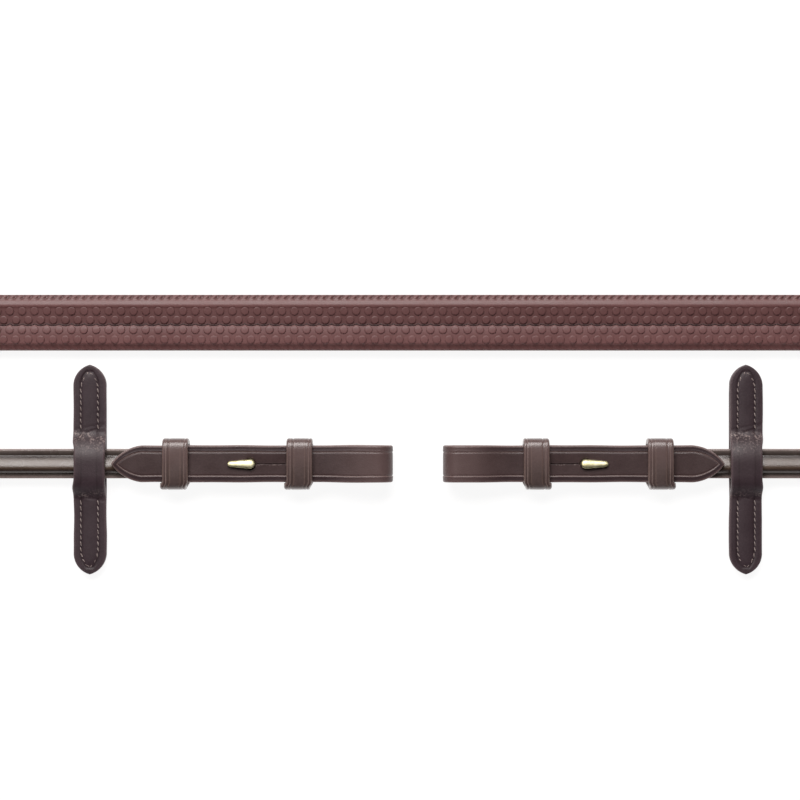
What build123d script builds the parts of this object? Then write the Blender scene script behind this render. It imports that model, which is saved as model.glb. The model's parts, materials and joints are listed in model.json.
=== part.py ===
from build123d import *
import math
import os

# A pair of English riding reins, lying on a table: +X along the straps, +Z up, millimetres.
# Two half reins are joined by a centre buckle. The two bit ends face each other across a centre
# line, one half's rubber grip runs above them, and the rest is rolled up past both ends.
# "out" is a distance from the centre line between the bit ends, used for both mirrored sides.

os.makedirs("parts", exist_ok=True)

# ---------------------------------------------------------------- driving sizes
slip = 0.1                # running clearance between pieces that slide or lie on each other
thread = 0.3              # thickness of a row of stitches
thread_width = 0.5
row_end = 1.35            # bare end of a row of stitches
past = 1.0                # how far a cutting or hidden end runs past what it meets

# lengths of one half rein, from the bit fold to the end of the hand strap
half_rein = 1372.0
front_strap_length = 443.0
grip_length = 711.0

# bit end: billet, keepers and hook stud
billet_width = 16.0
billet_thick = 3.2
loop_gap = 7.0            # room inside the bit loop
fold_end = 10.75          # out, where the fold begins
loop_flat_end = 28.0      # out, where the loop starts to close
loop_closed_at = 40.0     # out, where both layers lie together
splice_at = 118.3         # out, where the billet leather meets the front strap
billet_point = 131.6      # out, tip of the billet
billet_point_length = 14.6
billet_bend = 14.0        # radius of the strap's middle where its layers come together
point_rise = 2.0          # how far the tip climbs over the raised strap
lap_length = 27.0         # skived tongue of the billet leather under the front strap
lap_thick = 1.4
lap_width = 10.0
lap_row = 3.3             # rows of stitches, from the middle of the lap
keeper_thick = 2.6
keeper_width = 12.0
keeper_side_gap = 0.45
keeper_fixed_at = 51.4    # out, middle
keeper_runner_at = 104.4  # out, middle
stud_at = 71.8            # out, middle of the stud's post
stud_post = 1.4           # radius
stud_foot = 2.4           # radius
stud_foot_thick = 0.6
stud_washer = 4.0         # radius
stud_washer_thick = 1.0
stud_tip = 81.7           # out, tip of the hook
hook_round = 1.85         # radius of the hook's round end
hook_side = 1.8           # half width where the hook's sides leave its round end
hook_tip = 0.3            # half width at its tip
hook_thick = 1.6
billet_hole = 2.2         # radius
slit_end = 56.8           # out
slit_width = 0.6

# raised front strap
front_width = 12.7
flange_thick = 2.8
dome_width = 7.7
dome_rise = 2.2
dome_offset = -0.4
dome_start = 121.0        # out
dome_ramp = 12.0
straight_end = 184.0      # out, where the straps start to turn on edge

# rein stop
stop_at = 141.5           # out, middle
stop_width = 14.2
stop_leather = 2.0
stop_top = 42.6
stop_bottom = -47.8
stop_point_length = 9.2
bridge_top = 10.3
bridge_bottom = -12.5
bridge_lean = 4.2
bridge_bend = 2.4
stitch_inset = 3.4
row_tip_inset = 4.4       # from the tab's tip to the tip of its row
row_line = 0.65           # width of the row at its tip
row_clear = 3.0           # from the arch to the row's end
row_point_length = 7.4

# rubber grip and the strap inside it
band_y = 60.7             # middle of the grip above the bit ends
grip_width = 24.0
rubber_wall = 2.0
core_width = 16.0
core_thick = 2.6
grip_corner = 2.2
seam_y = -1.1             # seam, from the middle of the grip
grip_end_x = -195.0       # left end of the grip that crosses above the bit ends
fit = 0.05                # clearance round the strap inside the rubber

# centre buckle
buckle_x = -245.0         # its bar
bar_radius = 1.4
buckle_length = 16.0      # bar to nose
buckle_wall = 2.8
buckle_side_gap = 0.3
chape_thick = 2.0
chape_back_length = 36.0
chape_end = 6.0           # behind the bar, where the folded end stops
chape_crest = 3.0         # behind the bar, where the fold starts to come down
chape_foot = 11.0         # behind the bar, where it lies flat again
chape_slot = 6.0          # tongue slot, in front of the bar
tail_behind = 0.6         # how much further back the tail bends than the leather under it
tail_crest = 2.0          # in front of the bar, where the tail is highest
tail_slot_start = 1.75    # tongue slot in the tail, in front of the bar
tail_slot_end = 11.25
hand_bend = 1.6           # radius of the strap's middle at each bend
small_keeper_thick = 1.7
small_keeper_width = 8.0
small_keeper_fixed = 16.5  # middle, from the bar
small_keeper_runner = 31.0
tail_length = 46.0        # from the bar to the tail's tip
tail_point_length = 10.0
tail_fall = 13.5          # run over which the tail comes down to the nose
tongue_radius = 0.9
tongue_width = 2.2
tongue_ring = 2.3         # radius of its eye round the bar
tongue_slot = 2.8
tongue_root = 0.4         # how far the shank's middle starts above the bar
tongue_start = 1.0        # shank's start, in front of the bar's middle
tongue_nose = 1.5         # how far it runs past the nose's middle
buckle_corner = 2.66
strap_hole = 1.5          # radius
hole_pitch = 13.0

# unseen runs: a quarter turn on edge, an S bend, and a roll wound from its middle
turn_length = 60.0
hand_turn_start = -294.0
hand_turn_length = 44.0
bend_out = 94.0
roll_out_right = 376.0
hand_to_roll = 40.55      # grip between the left hand strap and its roll's middle
strand_pitch = 8.6
roll_heart = 22.0         # radius at which the two strands start round the S in the middle
run_thick = 5.0           # plain thickness of the front strap's run
roll_short = 1 / 3        # share of the roll's radius at which a run stops short of its middle
turn_steps = 8

# ---------------------------------------------------------------- worked out
strap_low = max(keeper_thick + slip, stop_leather + 2 * thread + slip)
keeper_low = strap_low - slip - keeper_thick
base_mid = strap_low + billet_thick / 2
billet_low = strap_low + billet_thick + slip
billet_mid = billet_low + billet_thick / 2
billet_top = billet_low + billet_thick
keeper_room = billet_top + slip - (strap_low - slip)
fold_radius = (loop_gap + billet_thick) / 2
fold_middle = fold_end + fold_radius + billet_thick / 2
loop_low = billet_thick / 2
loop_high = loop_low + 2 * fold_radius
flange_top = strap_low + flange_thick
dome_top = flange_top + dome_rise

grip_thick = core_thick + 2 * (rubber_wall + fit)
core_mid = rubber_wall + fit + core_thick / 2
core_low = core_mid - core_thick / 2
core_top = core_mid + core_thick / 2
stitch_half = stop_width / 2 - stitch_inset

turn_end = straight_end + turn_length
bend_end = turn_end + bend_out
inner_y = band_y - strand_pitch


def roll_radius(length):
    """Radius of the outer strand of a two-strand roll that takes this length of strap."""
    wound = length - math.pi * roll_heart
    square = wound * 2 * strand_pitch / math.pi + 2 * roll_heart**2
    return strand_pitch / 2 + math.sqrt(square / 2 - strand_pitch**2 / 4)


# The S bend: two equal corners, each as far from the bend's end as half the run between them,
# and arcs as large as that run allows.
bend_turn = 2 * math.atan(inner_y / bend_out)
corner_run = inner_y / math.sin(bend_turn)
bend_radius = 0.45 * corner_run / math.tan(bend_turn / 2)
bend_path = 0.2 * corner_run + 2 * bend_radius * bend_turn

bit_end_length = splice_at - fold_end
hand_length = half_rein - bit_end_length - front_strap_length - grip_length
roll_out_left = hand_length - buckle_x + hand_to_roll
front_to_bend_end = turn_end - splice_at + bend_path
put_away_left = (
    front_strap_length - front_to_bend_end - (roll_out_left - bend_end)
    + grip_length - hand_to_roll
)
put_away_right = (
    front_strap_length - front_to_bend_end - (roll_out_right - bend_end)
    + grip_length - (roll_out_right - grip_end_x)
)
roll_left = roll_radius(put_away_left)
roll_right = roll_radius(put_away_right)
roll_skin = strand_pitch / 2
rolls = {
    "left": (-roll_out_left, band_y - roll_left, roll_left + roll_skin),
    "right": (roll_out_right, band_y - roll_right, roll_right + roll_skin),
}

x_low = rolls["left"][0] - rolls["left"][2]
x_high = rolls["right"][0] + rolls["right"][2]
y_low = min(stop_bottom, rolls["left"][1] - rolls["left"][2], rolls["right"][1] - rolls["right"][2])
y_high = band_y + grip_width / 2
x_mid = (x_low + x_high) / 2
y_mid = (y_low + y_high) / 2

TABLE = Plane(origin=(-x_mid, -y_mid, 0))
SIDE = Plane(origin=(-x_mid, -y_mid, 0), x_dir=(1, 0, 0), z_dir=(0, -1, 0))
END = Plane(origin=(-x_mid, -y_mid, 0), x_dir=(0, 1, 0), z_dir=(1, 0, 0))
BAND = SIDE.offset(-band_y)


def gothic(tip, back, half, point, along):
    """A strap end: straight sides half wide, then two arcs of length point that meet at the
    tip. along is the unit vector from back to tip."""
    side = (-along[1], along[0])
    shoulder = (tip[0] - along[0] * point, tip[1] - along[1] * point)
    heel = (tip[0] - along[0] * back, tip[1] - along[1] * back)
    a = (heel[0] + side[0] * half, heel[1] + side[1] * half)
    b = (shoulder[0] + side[0] * half, shoulder[1] + side[1] * half)
    c = (shoulder[0] - side[0] * half, shoulder[1] - side[1] * half)
    d = (heel[0] - side[0] * half, heel[1] - side[1] * half)
    with BuildSketch(mode=Mode.PRIVATE) as outline:
        with BuildLine():
            Line(a, b)
            TangentArc(b, tip, tangent=along)
            Line(a, d)
            Line(d, c)
            TangentArc(c, tip, tangent=along)
        make_face()
    return outline.sketch


def save(piece, label):
    """Names a finished piece and writes it."""
    piece.label = label
    export_step(piece, f"parts/{label}.step")


def turn_plane(x, y, share, width, thick, lift):
    """Section plane of a strap at this share of its quarter turn: it ends on its lower edge."""
    angle = math.pi / 2 * share * share * (3 - 2 * share)
    rise = (width * math.sin(angle) + thick * math.cos(angle)) / 2
    middle = (x - x_mid, y - y_mid, rise + lift * (1 - share))
    return Plane(origin=middle, x_dir=(0, math.cos(angle), -math.sin(angle)), z_dir=(1, 0, 0))


# ---------------------------------------------------------------- both bit ends
for side, sign in (("left", -1), ("right", 1)):

    # The billet: one strap, its base layer, the bit loop and the layer that comes back over it.
    with BuildPart() as billet:
        with BuildSketch(SIDE):
            with BuildLine() as base_line:
                FilletPolyline(
                    (sign * splice_at, base_mid),
                    (sign * loop_closed_at, base_mid),
                    (sign * loop_flat_end, loop_low),
                    (sign * fold_middle, loop_low),
                    radius=billet_bend,
                )
            with BuildLine() as fold_line:
                ThreePointArc(
                    (sign * fold_middle, loop_low),
                    (sign * (fold_middle - fold_radius), loop_low + fold_radius),
                    (sign * fold_middle, loop_high),
                )
            with BuildLine() as top_line:
                FilletPolyline(
                    (sign * fold_middle, loop_high),
                    (sign * loop_flat_end, loop_high),
                    (sign * loop_closed_at, billet_mid),
                    (sign * splice_at, billet_mid),
                    (sign * billet_point, billet_mid + point_rise),
                    radius=billet_bend,
                )
            trace(
                [base_line.edges(), fold_line.edges(), top_line.edges()],
                line_width=billet_thick,
            )
        extrude(amount=billet_width / 2, both=True)
        with BuildSketch(TABLE.offset(billet_low - slip / 2)):
            with Locations((sign * billet_point, 0)):
                Rectangle(2 * billet_point_length, 2 * billet_width)
            add(
                gothic(
                    (sign * billet_point, 0),
                    3 * billet_width,
                    billet_width / 2,
                    billet_point_length,
                    (sign, 0),
                ),
                mode=Mode.SUBTRACT,
            )
        extrude(amount=3 * billet_thick, mode=Mode.SUBTRACT)
        with BuildSketch(TABLE.offset(billet_low - slip / 2)):
            with Locations((sign * stud_at, 0)):
                Circle(billet_hole)
            with Locations((sign * (stud_at + slit_end) / 2, 0)):
                Rectangle(stud_at - slit_end, slit_width)
        extrude(amount=2 * billet_thick, mode=Mode.SUBTRACT)
        with BuildSketch(TABLE):
            with Locations((sign * stud_at, 0)):
                Circle(stud_post + slip)
        extrude(amount=billet_low, mode=Mode.SUBTRACT)
        with BuildSketch(TABLE.offset(strap_low)):
            with Locations((sign * (splice_at + lap_length / 2 - slip), 0)):
                Rectangle(lap_length + 2 * slip, lap_width)
        extrude(amount=lap_thick)
    save(billet.part, f"billet_{side}")

    # Hook stud: foot, post and a teardrop hook that lies on the billet and points outward.
    foot_low = strap_low - stud_washer_thick - stud_foot_thick
    hook_low = billet_top + slip
    with BuildPart() as stud:
        with BuildSketch(TABLE.offset(foot_low)):
            with Locations((sign * stud_at, 0)):
                Circle(stud_foot)
        extrude(amount=stud_foot_thick)
        with BuildSketch(TABLE.offset(foot_low)):
            with Locations((sign * stud_at, 0)):
                Circle(stud_post)
        extrude(amount=hook_low + hook_thick / 2 - foot_low)
        with BuildSketch(TABLE.offset(hook_low)):
            with Locations((sign * stud_at, 0)):
                Circle(hook_round)
            with BuildLine():
                Polyline(
                    (sign * stud_at, hook_side),
                    (sign * stud_tip, hook_tip),
                    (sign * stud_tip, -hook_tip),
                    (sign * stud_at, -hook_side),
                    close=True,
                )
            make_face()
        extrude(amount=hook_thick)
    save(stud.part, f"hook_stud_{side}")

    with BuildPart() as washer:
        with BuildSketch(TABLE.offset(strap_low - stud_washer_thick)):
            with Locations((sign * stud_at, 0)):
                Circle(stud_washer)
                Circle(stud_post, mode=Mode.SUBTRACT)
        extrude(amount=stud_washer_thick)
    save(washer.part, f"stud_washer_{side}")

    # Keepers: leather loops round both layers.
    for name, middle in (("fixed", keeper_fixed_at), ("runner", keeper_runner_at)):
        room_wide = billet_width + 2 * keeper_side_gap
        with BuildPart() as keeper:
            with BuildSketch(END.offset(sign * middle - keeper_width / 2)):
                with Locations((0, keeper_low + keeper_thick + keeper_room / 2)):
                    RectangleRounded(
                        room_wide + 2 * keeper_thick,
                        keeper_room + 2 * keeper_thick,
                        keeper_thick,
                    )
                    Rectangle(room_wide, keeper_room, mode=Mode.SUBTRACT)
            extrude(amount=keeper_width)
        save(keeper.part, f"keeper_{name}_{side}")

    # Front strap: flat flanges and a raised, rounded ridge that starts under the billet's tip.
    # Its underside is skived over the billet leather's tongue.
    with BuildPart() as front:
        with BuildSketch(END.offset(sign * splice_at)):
            with Locations((0, strap_low + flange_thick / 2)):
                Rectangle(front_width, flange_thick)
            with BuildLine():
                ThreePointArc(
                    (dome_offset - dome_width / 2, flange_top),
                    (dome_offset, dome_top),
                    (dome_offset + dome_width / 2, flange_top),
                )
                Line(
                    (dome_offset + dome_width / 2, flange_top),
                    (dome_offset - dome_width / 2, flange_top),
                )
            make_face()
        extrude(amount=sign * (straight_end - splice_at))
        with BuildSketch(SIDE):
            with BuildLine():
                Polyline(
                    (sign * (splice_at - past), flange_top),
                    (sign * dome_start, flange_top),
                    (sign * (dome_start + dome_ramp), dome_top + slip),
                    (sign * (splice_at - past), dome_top + slip),
                    close=True,
                )
            make_face()
        extrude(amount=front_width, both=True, mode=Mode.SUBTRACT)
        with BuildSketch(TABLE.offset(strap_low)):
            with Locations((sign * (splice_at + lap_length / 2), 0)):
                Rectangle(lap_length, lap_width)
        extrude(amount=lap_thick, mode=Mode.SUBTRACT)
    save(front.part, f"front_strap_{side}")

    # Two rows of stitches under the splice.
    splice_x = sign * (splice_at + lap_length / 2)
    with BuildPart() as splice:
        with BuildSketch(TABLE.offset(strap_low - thread)):
            with Locations((splice_x, -lap_row), (splice_x, lap_row)):
                Rectangle(lap_length - 2 * row_end, thread_width)
        extrude(amount=thread)
    save(splice.part, f"splice_stitching_{side}")

    # Rein stop: two leathers sewn together above and below the strap, the front one arched.
    stop_x = sign * stop_at
    tab_mid = thread + 1.5 * stop_leather
    arch_mid = dome_top + slip + stop_leather / 2
    with BuildPart() as stop_back:
        with BuildSketch(TABLE.offset(thread)):
            for tip, way in ((stop_top, 1), (stop_bottom, -1)):
                add(gothic((stop_x, tip), way * tip + past, stop_width / 2, stop_point_length, (0, way)))
        extrude(amount=stop_leather)
    save(stop_back.part, f"stop_back_{side}")

    with BuildPart() as stop_front:
        with BuildSketch(END.offset(stop_x - stop_width / 2)):
            with BuildLine() as arch:
                FilletPolyline(
                    (stop_bottom, tab_mid),
                    (bridge_bottom, tab_mid),
                    (bridge_bottom + bridge_lean, arch_mid),
                    (bridge_top - bridge_lean, arch_mid),
                    (bridge_top, tab_mid),
                    (stop_top, tab_mid),
                    radius=bridge_bend,
                )
            trace(arch.edges(), line_width=stop_leather)
        extrude(amount=stop_width)
        with BuildSketch(TABLE):
            for tip, way in ((stop_top, 1), (stop_bottom, -1)):
                add(gothic((stop_x, tip), way * tip + past, stop_width / 2, stop_point_length, (0, way)))
        extrude(amount=2 * dome_top, mode=Mode.INTERSECT)
    save(stop_front.part, f"stop_front_{side}")

    # Its stitches: a row inside the edge of each tab, on both faces.
    with BuildPart() as stop_rows:
        for low in (0, thread + 2 * stop_leather):
            with BuildSketch(TABLE.offset(low)):
                for tip, way, foot in ((stop_top, 1, bridge_top), (stop_bottom, -1, bridge_bottom)):
                    row_tip = (stop_x, tip - way * row_tip_inset)
                    row_back = way * (row_tip[1] - foot) - row_clear
                    inner_tip = (stop_x, row_tip[1] - way * row_line)
                    inner_back = row_back + past
                    inner_half = stitch_half - thread_width
                    add(gothic(row_tip, row_back, stitch_half, row_point_length, (0, way)))
                    add(
                        gothic(inner_tip, inner_back, inner_half, row_point_length, (0, way)),
                        mode=Mode.SUBTRACT,
                    )
            extrude(amount=thread)
    save(stop_rows.part, f"stop_stitching_{side}")

    # The front strap's run out of the way: a quarter turn on edge, an S bend up to the grip's
    # side, and straight into the roll.
    roll_x, roll_y, roll_r = rolls[side]
    with BuildPart() as run:
        for step in range(turn_steps + 1):
            share = step / turn_steps
            station_x = sign * (straight_end + share * turn_length)
            with BuildSketch(turn_plane(station_x, 0, share, front_width, run_thick, strap_low)):
                Rectangle(front_width, run_thick)
        loft(ruled=True)
        with BuildSketch(TABLE):
            with BuildLine() as bend:
                FilletPolyline(
                    (sign * turn_end, 0),
                    (sign * (turn_end + corner_run / 2), 0),
                    (sign * (bend_end - corner_run / 2), inner_y),
                    (roll_x, inner_y),
                    radius=bend_radius,
                )
            trace(bend.edges(), line_width=run_thick)
            with Locations((roll_x, roll_y)):
                Circle(roll_r, mode=Mode.SUBTRACT)
        extrude(amount=front_width)
    save(run.part, f"front_run_{side}")

    # The roll: both strands wound together from their middle, as a plain disc.
    with BuildPart() as roll:
        with BuildSketch(TABLE):
            with Locations((roll_x, roll_y)):
                Circle(roll_r)
        extrude(amount=grip_width)
    save(roll.part, f"roll_{side}")

# ---------------------------------------------------------------- the grip above the bit ends
with BuildPart() as grip:
    with BuildSketch(END.offset(grip_end_x)):
        with Locations((band_y, core_mid)):
            RectangleRounded(grip_width, grip_thick, grip_corner)
            Rectangle(core_width + 2 * fit, core_thick + 2 * fit, mode=Mode.SUBTRACT)
    extrude(amount=straight_end - grip_end_x)
save(grip.part, "grip_right")

with BuildPart() as seam:
    with BuildSketch(TABLE.offset(grip_thick)):
        with Locations(((grip_end_x + straight_end) / 2, band_y + seam_y)):
            Rectangle(straight_end - grip_end_x - 2 * row_end, thread_width)
    extrude(amount=thread)
save(seam.part, "grip_seam_thread")

roll_x, roll_y, roll_r = rolls["right"]
with BuildPart() as grip_run:
    for step in range(turn_steps + 1):
        share = step / turn_steps
        station_x = straight_end + share * turn_length
        with BuildSketch(turn_plane(station_x, band_y, share, grip_width, grip_thick, 0)):
            RectangleRounded(grip_width, grip_thick, grip_corner)
    loft(ruled=True)
    with BuildSketch(TABLE):
        run_stop = roll_x - roll_short * roll_r
        with Locations(((turn_end + run_stop) / 2, band_y)):
            Rectangle(run_stop - turn_end, grip_thick)
        with Locations((roll_x, roll_y)):
            Circle(roll_r, mode=Mode.SUBTRACT)
    extrude(amount=grip_width)
save(grip_run.part, "grip_run_right")

# ---------------------------------------------------------------- centre buckle
bar_z = core_top + bar_radius + slip
fold_in = bar_radius + slip
chape_low = bar_z - fold_in - chape_thick / 2
chape_high = bar_z + fold_in + chape_thick / 2
chape_flat = core_top + chape_thick / 2
tail_high = chape_high + chape_thick / 2 + slip + core_thick / 2
tail_over = core_top + chape_thick + slip + core_thick / 2
tail_tip_x = buckle_x - tail_length

# Right hand strap: from inside the grip through the buckle, its tail lying over the left strap.
with BuildPart() as hand_right:
    with BuildSketch(BAND):
        with BuildLine() as hand_line:
            FilletPolyline(
                (straight_end, core_mid),
                (buckle_x + tail_fall, core_mid),
                (buckle_x + tail_crest, tail_high),
                (buckle_x - chape_crest - tail_behind, tail_high),
                (buckle_x - chape_foot - tail_behind, tail_over),
                (tail_tip_x, tail_over),
                radius=hand_bend,
            )
        trace(hand_line.edges(), line_width=core_thick)
    extrude(amount=core_width / 2, both=True)
    with BuildSketch(TABLE.offset(core_top)):
        with Locations((tail_tip_x, band_y)):
            Rectangle(2 * tail_point_length, 2 * core_width)
        add(
            gothic((tail_tip_x, band_y), tail_length, core_width / 2, tail_point_length, (-1, 0)),
            mode=Mode.SUBTRACT,
        )
    extrude(amount=4 * core_thick, mode=Mode.SUBTRACT)
    with BuildSketch(TABLE):
        for step in (-3, -2, -1, 2, 3):
            with Locations((buckle_x + step * hole_pitch, band_y)):
                Circle(strap_hole)
        with Locations((buckle_x + (tail_slot_start + tail_slot_end) / 2, band_y)):
            Rectangle(tail_slot_end - tail_slot_start, tongue_slot)
    extrude(amount=4 * grip_thick, mode=Mode.SUBTRACT)
save(hand_right.part, "hand_strap_right")

# Left hand strap: folded round the buckle's bar, then flat under the tail, then turned on edge.
hand_turn_end = hand_turn_start - hand_turn_length
hand_end_x = buckle_x - hand_length
with BuildPart() as hand_left:
    with BuildSketch(BAND):
        with BuildLine() as chape_line:
            Line((buckle_x - chape_end, chape_low), (buckle_x, chape_low))
            ThreePointArc(
                (buckle_x, chape_low),
                (buckle_x + fold_in + chape_thick / 2, bar_z),
                (buckle_x, chape_high),
            )
        with BuildLine() as chape_top:
            FilletPolyline(
                (buckle_x, chape_high),
                (buckle_x - chape_crest, chape_high),
                (buckle_x - chape_foot, chape_flat),
                (buckle_x - chape_back_length, chape_flat),
                radius=hand_bend,
            )
        trace([chape_line.edges(), chape_top.edges()], line_width=chape_thick)
        with Locations(((buckle_x + hand_turn_start) / 2, core_mid)):
            Rectangle(buckle_x - hand_turn_start, core_thick)
    extrude(amount=core_width / 2, both=True)
    with BuildSketch(TABLE.offset(bar_z - tongue_ring - slip)):
        with Locations((buckle_x + (chape_slot - chape_crest) / 2, band_y)):
            Rectangle(chape_slot + chape_crest, tongue_slot)
    extrude(amount=2 * grip_thick, mode=Mode.SUBTRACT)
    for step in range(turn_steps + 1):
        share = step / turn_steps
        station_x = hand_turn_start - share * hand_turn_length
        with BuildSketch(turn_plane(station_x, band_y, share, core_width, core_thick, core_low)):
            Rectangle(core_width, core_thick)
    loft(ruled=True)
    with BuildSketch(TABLE):
        with Locations(((hand_turn_end + hand_end_x) / 2, band_y)):
            Rectangle(hand_turn_end - hand_end_x, core_thick)
    extrude(amount=core_width)
save(hand_left.part, "hand_strap_left")

roll_x, roll_y, roll_r = rolls["left"]
with BuildPart() as grip_left:
    with BuildSketch(TABLE):
        run_stop = roll_x + roll_short * roll_r
        with Locations(((hand_end_x + run_stop) / 2, band_y)):
            Rectangle(hand_end_x - run_stop, grip_thick)
        with Locations((roll_x, roll_y)):
            Circle(roll_r, mode=Mode.SUBTRACT)
    extrude(amount=grip_width)
save(grip_left.part, "grip_left")

inner_half = core_width / 2 + buckle_side_gap
outer_half = inner_half + buckle_wall
with BuildPart() as frame:
    with BuildSketch(TABLE.offset(bar_z - bar_radius)):
        with Locations((buckle_x + buckle_length / 2, band_y)):
            RectangleRounded(buckle_length + 2 * bar_radius, 2 * outer_half, buckle_corner)
            Rectangle(buckle_length - 2 * bar_radius, 2 * inner_half, mode=Mode.SUBTRACT)
        with Locations((buckle_x, band_y)):
            Rectangle(4 * bar_radius, 2 * inner_half, mode=Mode.SUBTRACT)
    extrude(amount=2 * bar_radius)
    with BuildSketch(BAND):
        with Locations((buckle_x, bar_z)):
            Circle(bar_radius)
    extrude(amount=inner_half + buckle_wall / 2, both=True)
save(frame.part, "buckle_frame")

tongue_root_z = bar_z + bar_radius + tongue_root
tongue_rest_z = bar_z + bar_radius + slip + tongue_radius
tongue_rise = math.atan2(tongue_rest_z - tongue_root_z, buckle_length - tongue_start)
with BuildPart() as tongue:
    with BuildSketch(BAND):
        with Locations((buckle_x, bar_z)):
            Circle(tongue_ring)
            Circle(bar_radius + slip / 2, mode=Mode.SUBTRACT)
    extrude(amount=tongue_width / 2, both=True)
    shank = Plane(
        origin=(buckle_x + tongue_start - x_mid, band_y - y_mid, tongue_root_z),
        z_dir=(math.cos(tongue_rise), 0, math.sin(tongue_rise)),
    )
    with BuildSketch(shank):
        Circle(tongue_radius)
    extrude(amount=buckle_length + tongue_nose - tongue_start)
    with BuildSketch(BAND):
        with Locations((buckle_x, bar_z)):
            Circle(bar_radius + slip / 2)
    extrude(amount=tongue_width / 2, both=True, mode=Mode.SUBTRACT)
save(tongue.part, "buckle_tongue")

for name, middle in (("fixed", small_keeper_fixed), ("runner", small_keeper_runner)):
    room_high = tail_over + core_thick / 2 + slip - (core_low - slip)
    room_mid = core_low - slip + room_high / 2
    room_wide = core_width + 2 * keeper_side_gap
    with BuildPart() as small_keeper:
        with BuildSketch(END.offset(buckle_x - middle - small_keeper_width / 2)):
            with Locations((band_y, room_mid)):
                RectangleRounded(
                    room_wide + 2 * small_keeper_thick,
                    room_high + 2 * small_keeper_thick,
                    small_keeper_thick,
                )
                Rectangle(room_wide, room_high, mode=Mode.SUBTRACT)
        extrude(amount=small_keeper_width)
    save(small_keeper.part, f"buckle_keeper_{name}")

# ---------------------------------------------------------------- figures
print(f"size {x_high - x_low:.1f} x {y_high - y_low:.1f} mm, middle {x_mid:.3f} {y_mid:.3f}")
print(f"left roll {put_away_left:.1f} long, radius {roll_left:.2f}")
print(f"right roll {put_away_right:.1f} long, radius {roll_right:.2f}")
print(f"S bend {math.degrees(bend_turn):.1f} degrees, radius {bend_radius:.1f}, {bend_path:.1f} long")
print(f"hand strap {hand_length:.1f}, strap low {strap_low:.2f}, billet top {billet_top:.2f}")
print(f"dome top {dome_top:.2f}, bar {bar_z:.2f}, tail {tail_over:.2f} {tail_high:.2f}")
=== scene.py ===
import json
import math

import bmesh
import bpy
import numpy as np
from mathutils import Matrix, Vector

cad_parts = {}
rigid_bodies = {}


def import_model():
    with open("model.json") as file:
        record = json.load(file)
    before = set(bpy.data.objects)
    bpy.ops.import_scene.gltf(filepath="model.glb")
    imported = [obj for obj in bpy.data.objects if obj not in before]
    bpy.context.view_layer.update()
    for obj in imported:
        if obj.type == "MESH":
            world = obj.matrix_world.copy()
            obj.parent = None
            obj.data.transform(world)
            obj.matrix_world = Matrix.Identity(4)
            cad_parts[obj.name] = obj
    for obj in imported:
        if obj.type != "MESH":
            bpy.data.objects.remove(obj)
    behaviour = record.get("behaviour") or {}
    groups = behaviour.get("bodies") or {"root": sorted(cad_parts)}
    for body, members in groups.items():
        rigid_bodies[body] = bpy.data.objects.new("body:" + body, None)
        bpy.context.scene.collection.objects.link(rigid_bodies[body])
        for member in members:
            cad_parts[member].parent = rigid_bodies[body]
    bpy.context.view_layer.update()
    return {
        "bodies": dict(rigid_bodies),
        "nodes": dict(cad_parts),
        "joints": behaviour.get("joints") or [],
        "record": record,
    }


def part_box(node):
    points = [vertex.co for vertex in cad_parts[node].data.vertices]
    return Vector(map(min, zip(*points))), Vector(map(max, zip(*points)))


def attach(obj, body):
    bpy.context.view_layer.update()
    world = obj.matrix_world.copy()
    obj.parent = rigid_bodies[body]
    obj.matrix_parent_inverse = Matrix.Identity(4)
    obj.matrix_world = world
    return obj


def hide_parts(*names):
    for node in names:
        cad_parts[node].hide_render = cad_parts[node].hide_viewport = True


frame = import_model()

# A pair of English riding reins. Everything is in metres, in the frame's own coordinates; sizes
# are given in millimetres, and "out" is a distance from the middle between the two bit ends.
MM = 0.001
SIDES = (("left", -1), ("right", 1))
X_WAY, Y_WAY, Z_WAY = np.eye(3)


# ------------------------------------------------------------------ places taken from the frame
def corners(node):
    """Lowest and highest corner of a node as arrays, in metres."""
    low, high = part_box(node)
    return np.array(low), np.array(high)


billet_l, billet_r = corners("billet_left"), corners("billet_right")
MIDDLE = np.array([(billet_l[1][0] + billet_r[0][0]) / 2, (billet_l[0][1] + billet_l[1][1]) / 2, 0])


def place(points):
    """Points given in millimetres from the middle between the bit ends, in metres."""
    return MIDDLE + np.asarray(points, dtype=float) * MM


def span(node):
    """A node's lowest and highest corner in millimetres from the middle between the bit ends."""
    low, high = corners(node)
    return (low - MIDDLE) / MM, (high - MIDDLE) / MM


# ------------------------------------------------------------------ sizes, in millimetres
SPLICE = 118.3
FOLD_END = span("billet_right")[0][0]
BILLET_TIP = 131.4
BILLET_HALF, BILLET_THICK, LOOP_GAP = 8.0, 3.2, 7.0
BILLET_POINT, POINT_RISE = 14.6, 2.0
STRAP_LOW = span("front_strap_right")[0][2]
STUD_AT, STUD_TIP = 71.8, 81.7
SLIT_START = 56.8
FRONT_WIDTH, FLANGE, DOME_RISE, DOME_HALF = 12.7, 2.8, 2.2, 3.85
STOP_AT, STOP_HALF, STOP_POINT, STOP_LEATHER = 141.5, 7.1, 9.2, 2.0
STOP_TOP, STOP_BOTTOM = span("stop_front_right")[1][1], span("stop_front_right")[0][1]
GRIP_WIDTH, GRIP_THICK = 24.0, 6.7
GRIP_END = span("grip_right")[0][0]
BAND_Y = (span("grip_right")[0][1] + span("grip_right")[1][1]) / 2
TURN_START, TURN_LENGTH = 184.0, 60.0
KEEPER_PLACES, KEEPER_LEAN, KEEPER_WIDTH, KEEPER_THICK, KEEPER_Y = (50.8, 104.0), 1.1, 11.1, 2.6, -0.3
SMALL_KEEPER_PLACES, SMALL_KEEPER_WIDTH, SMALL_KEEPER_THICK = (16.5, 31.0), 8.0, 1.7
FRONT_LENGTH, GRIP_LENGTH = 443.0, 711.0
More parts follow.
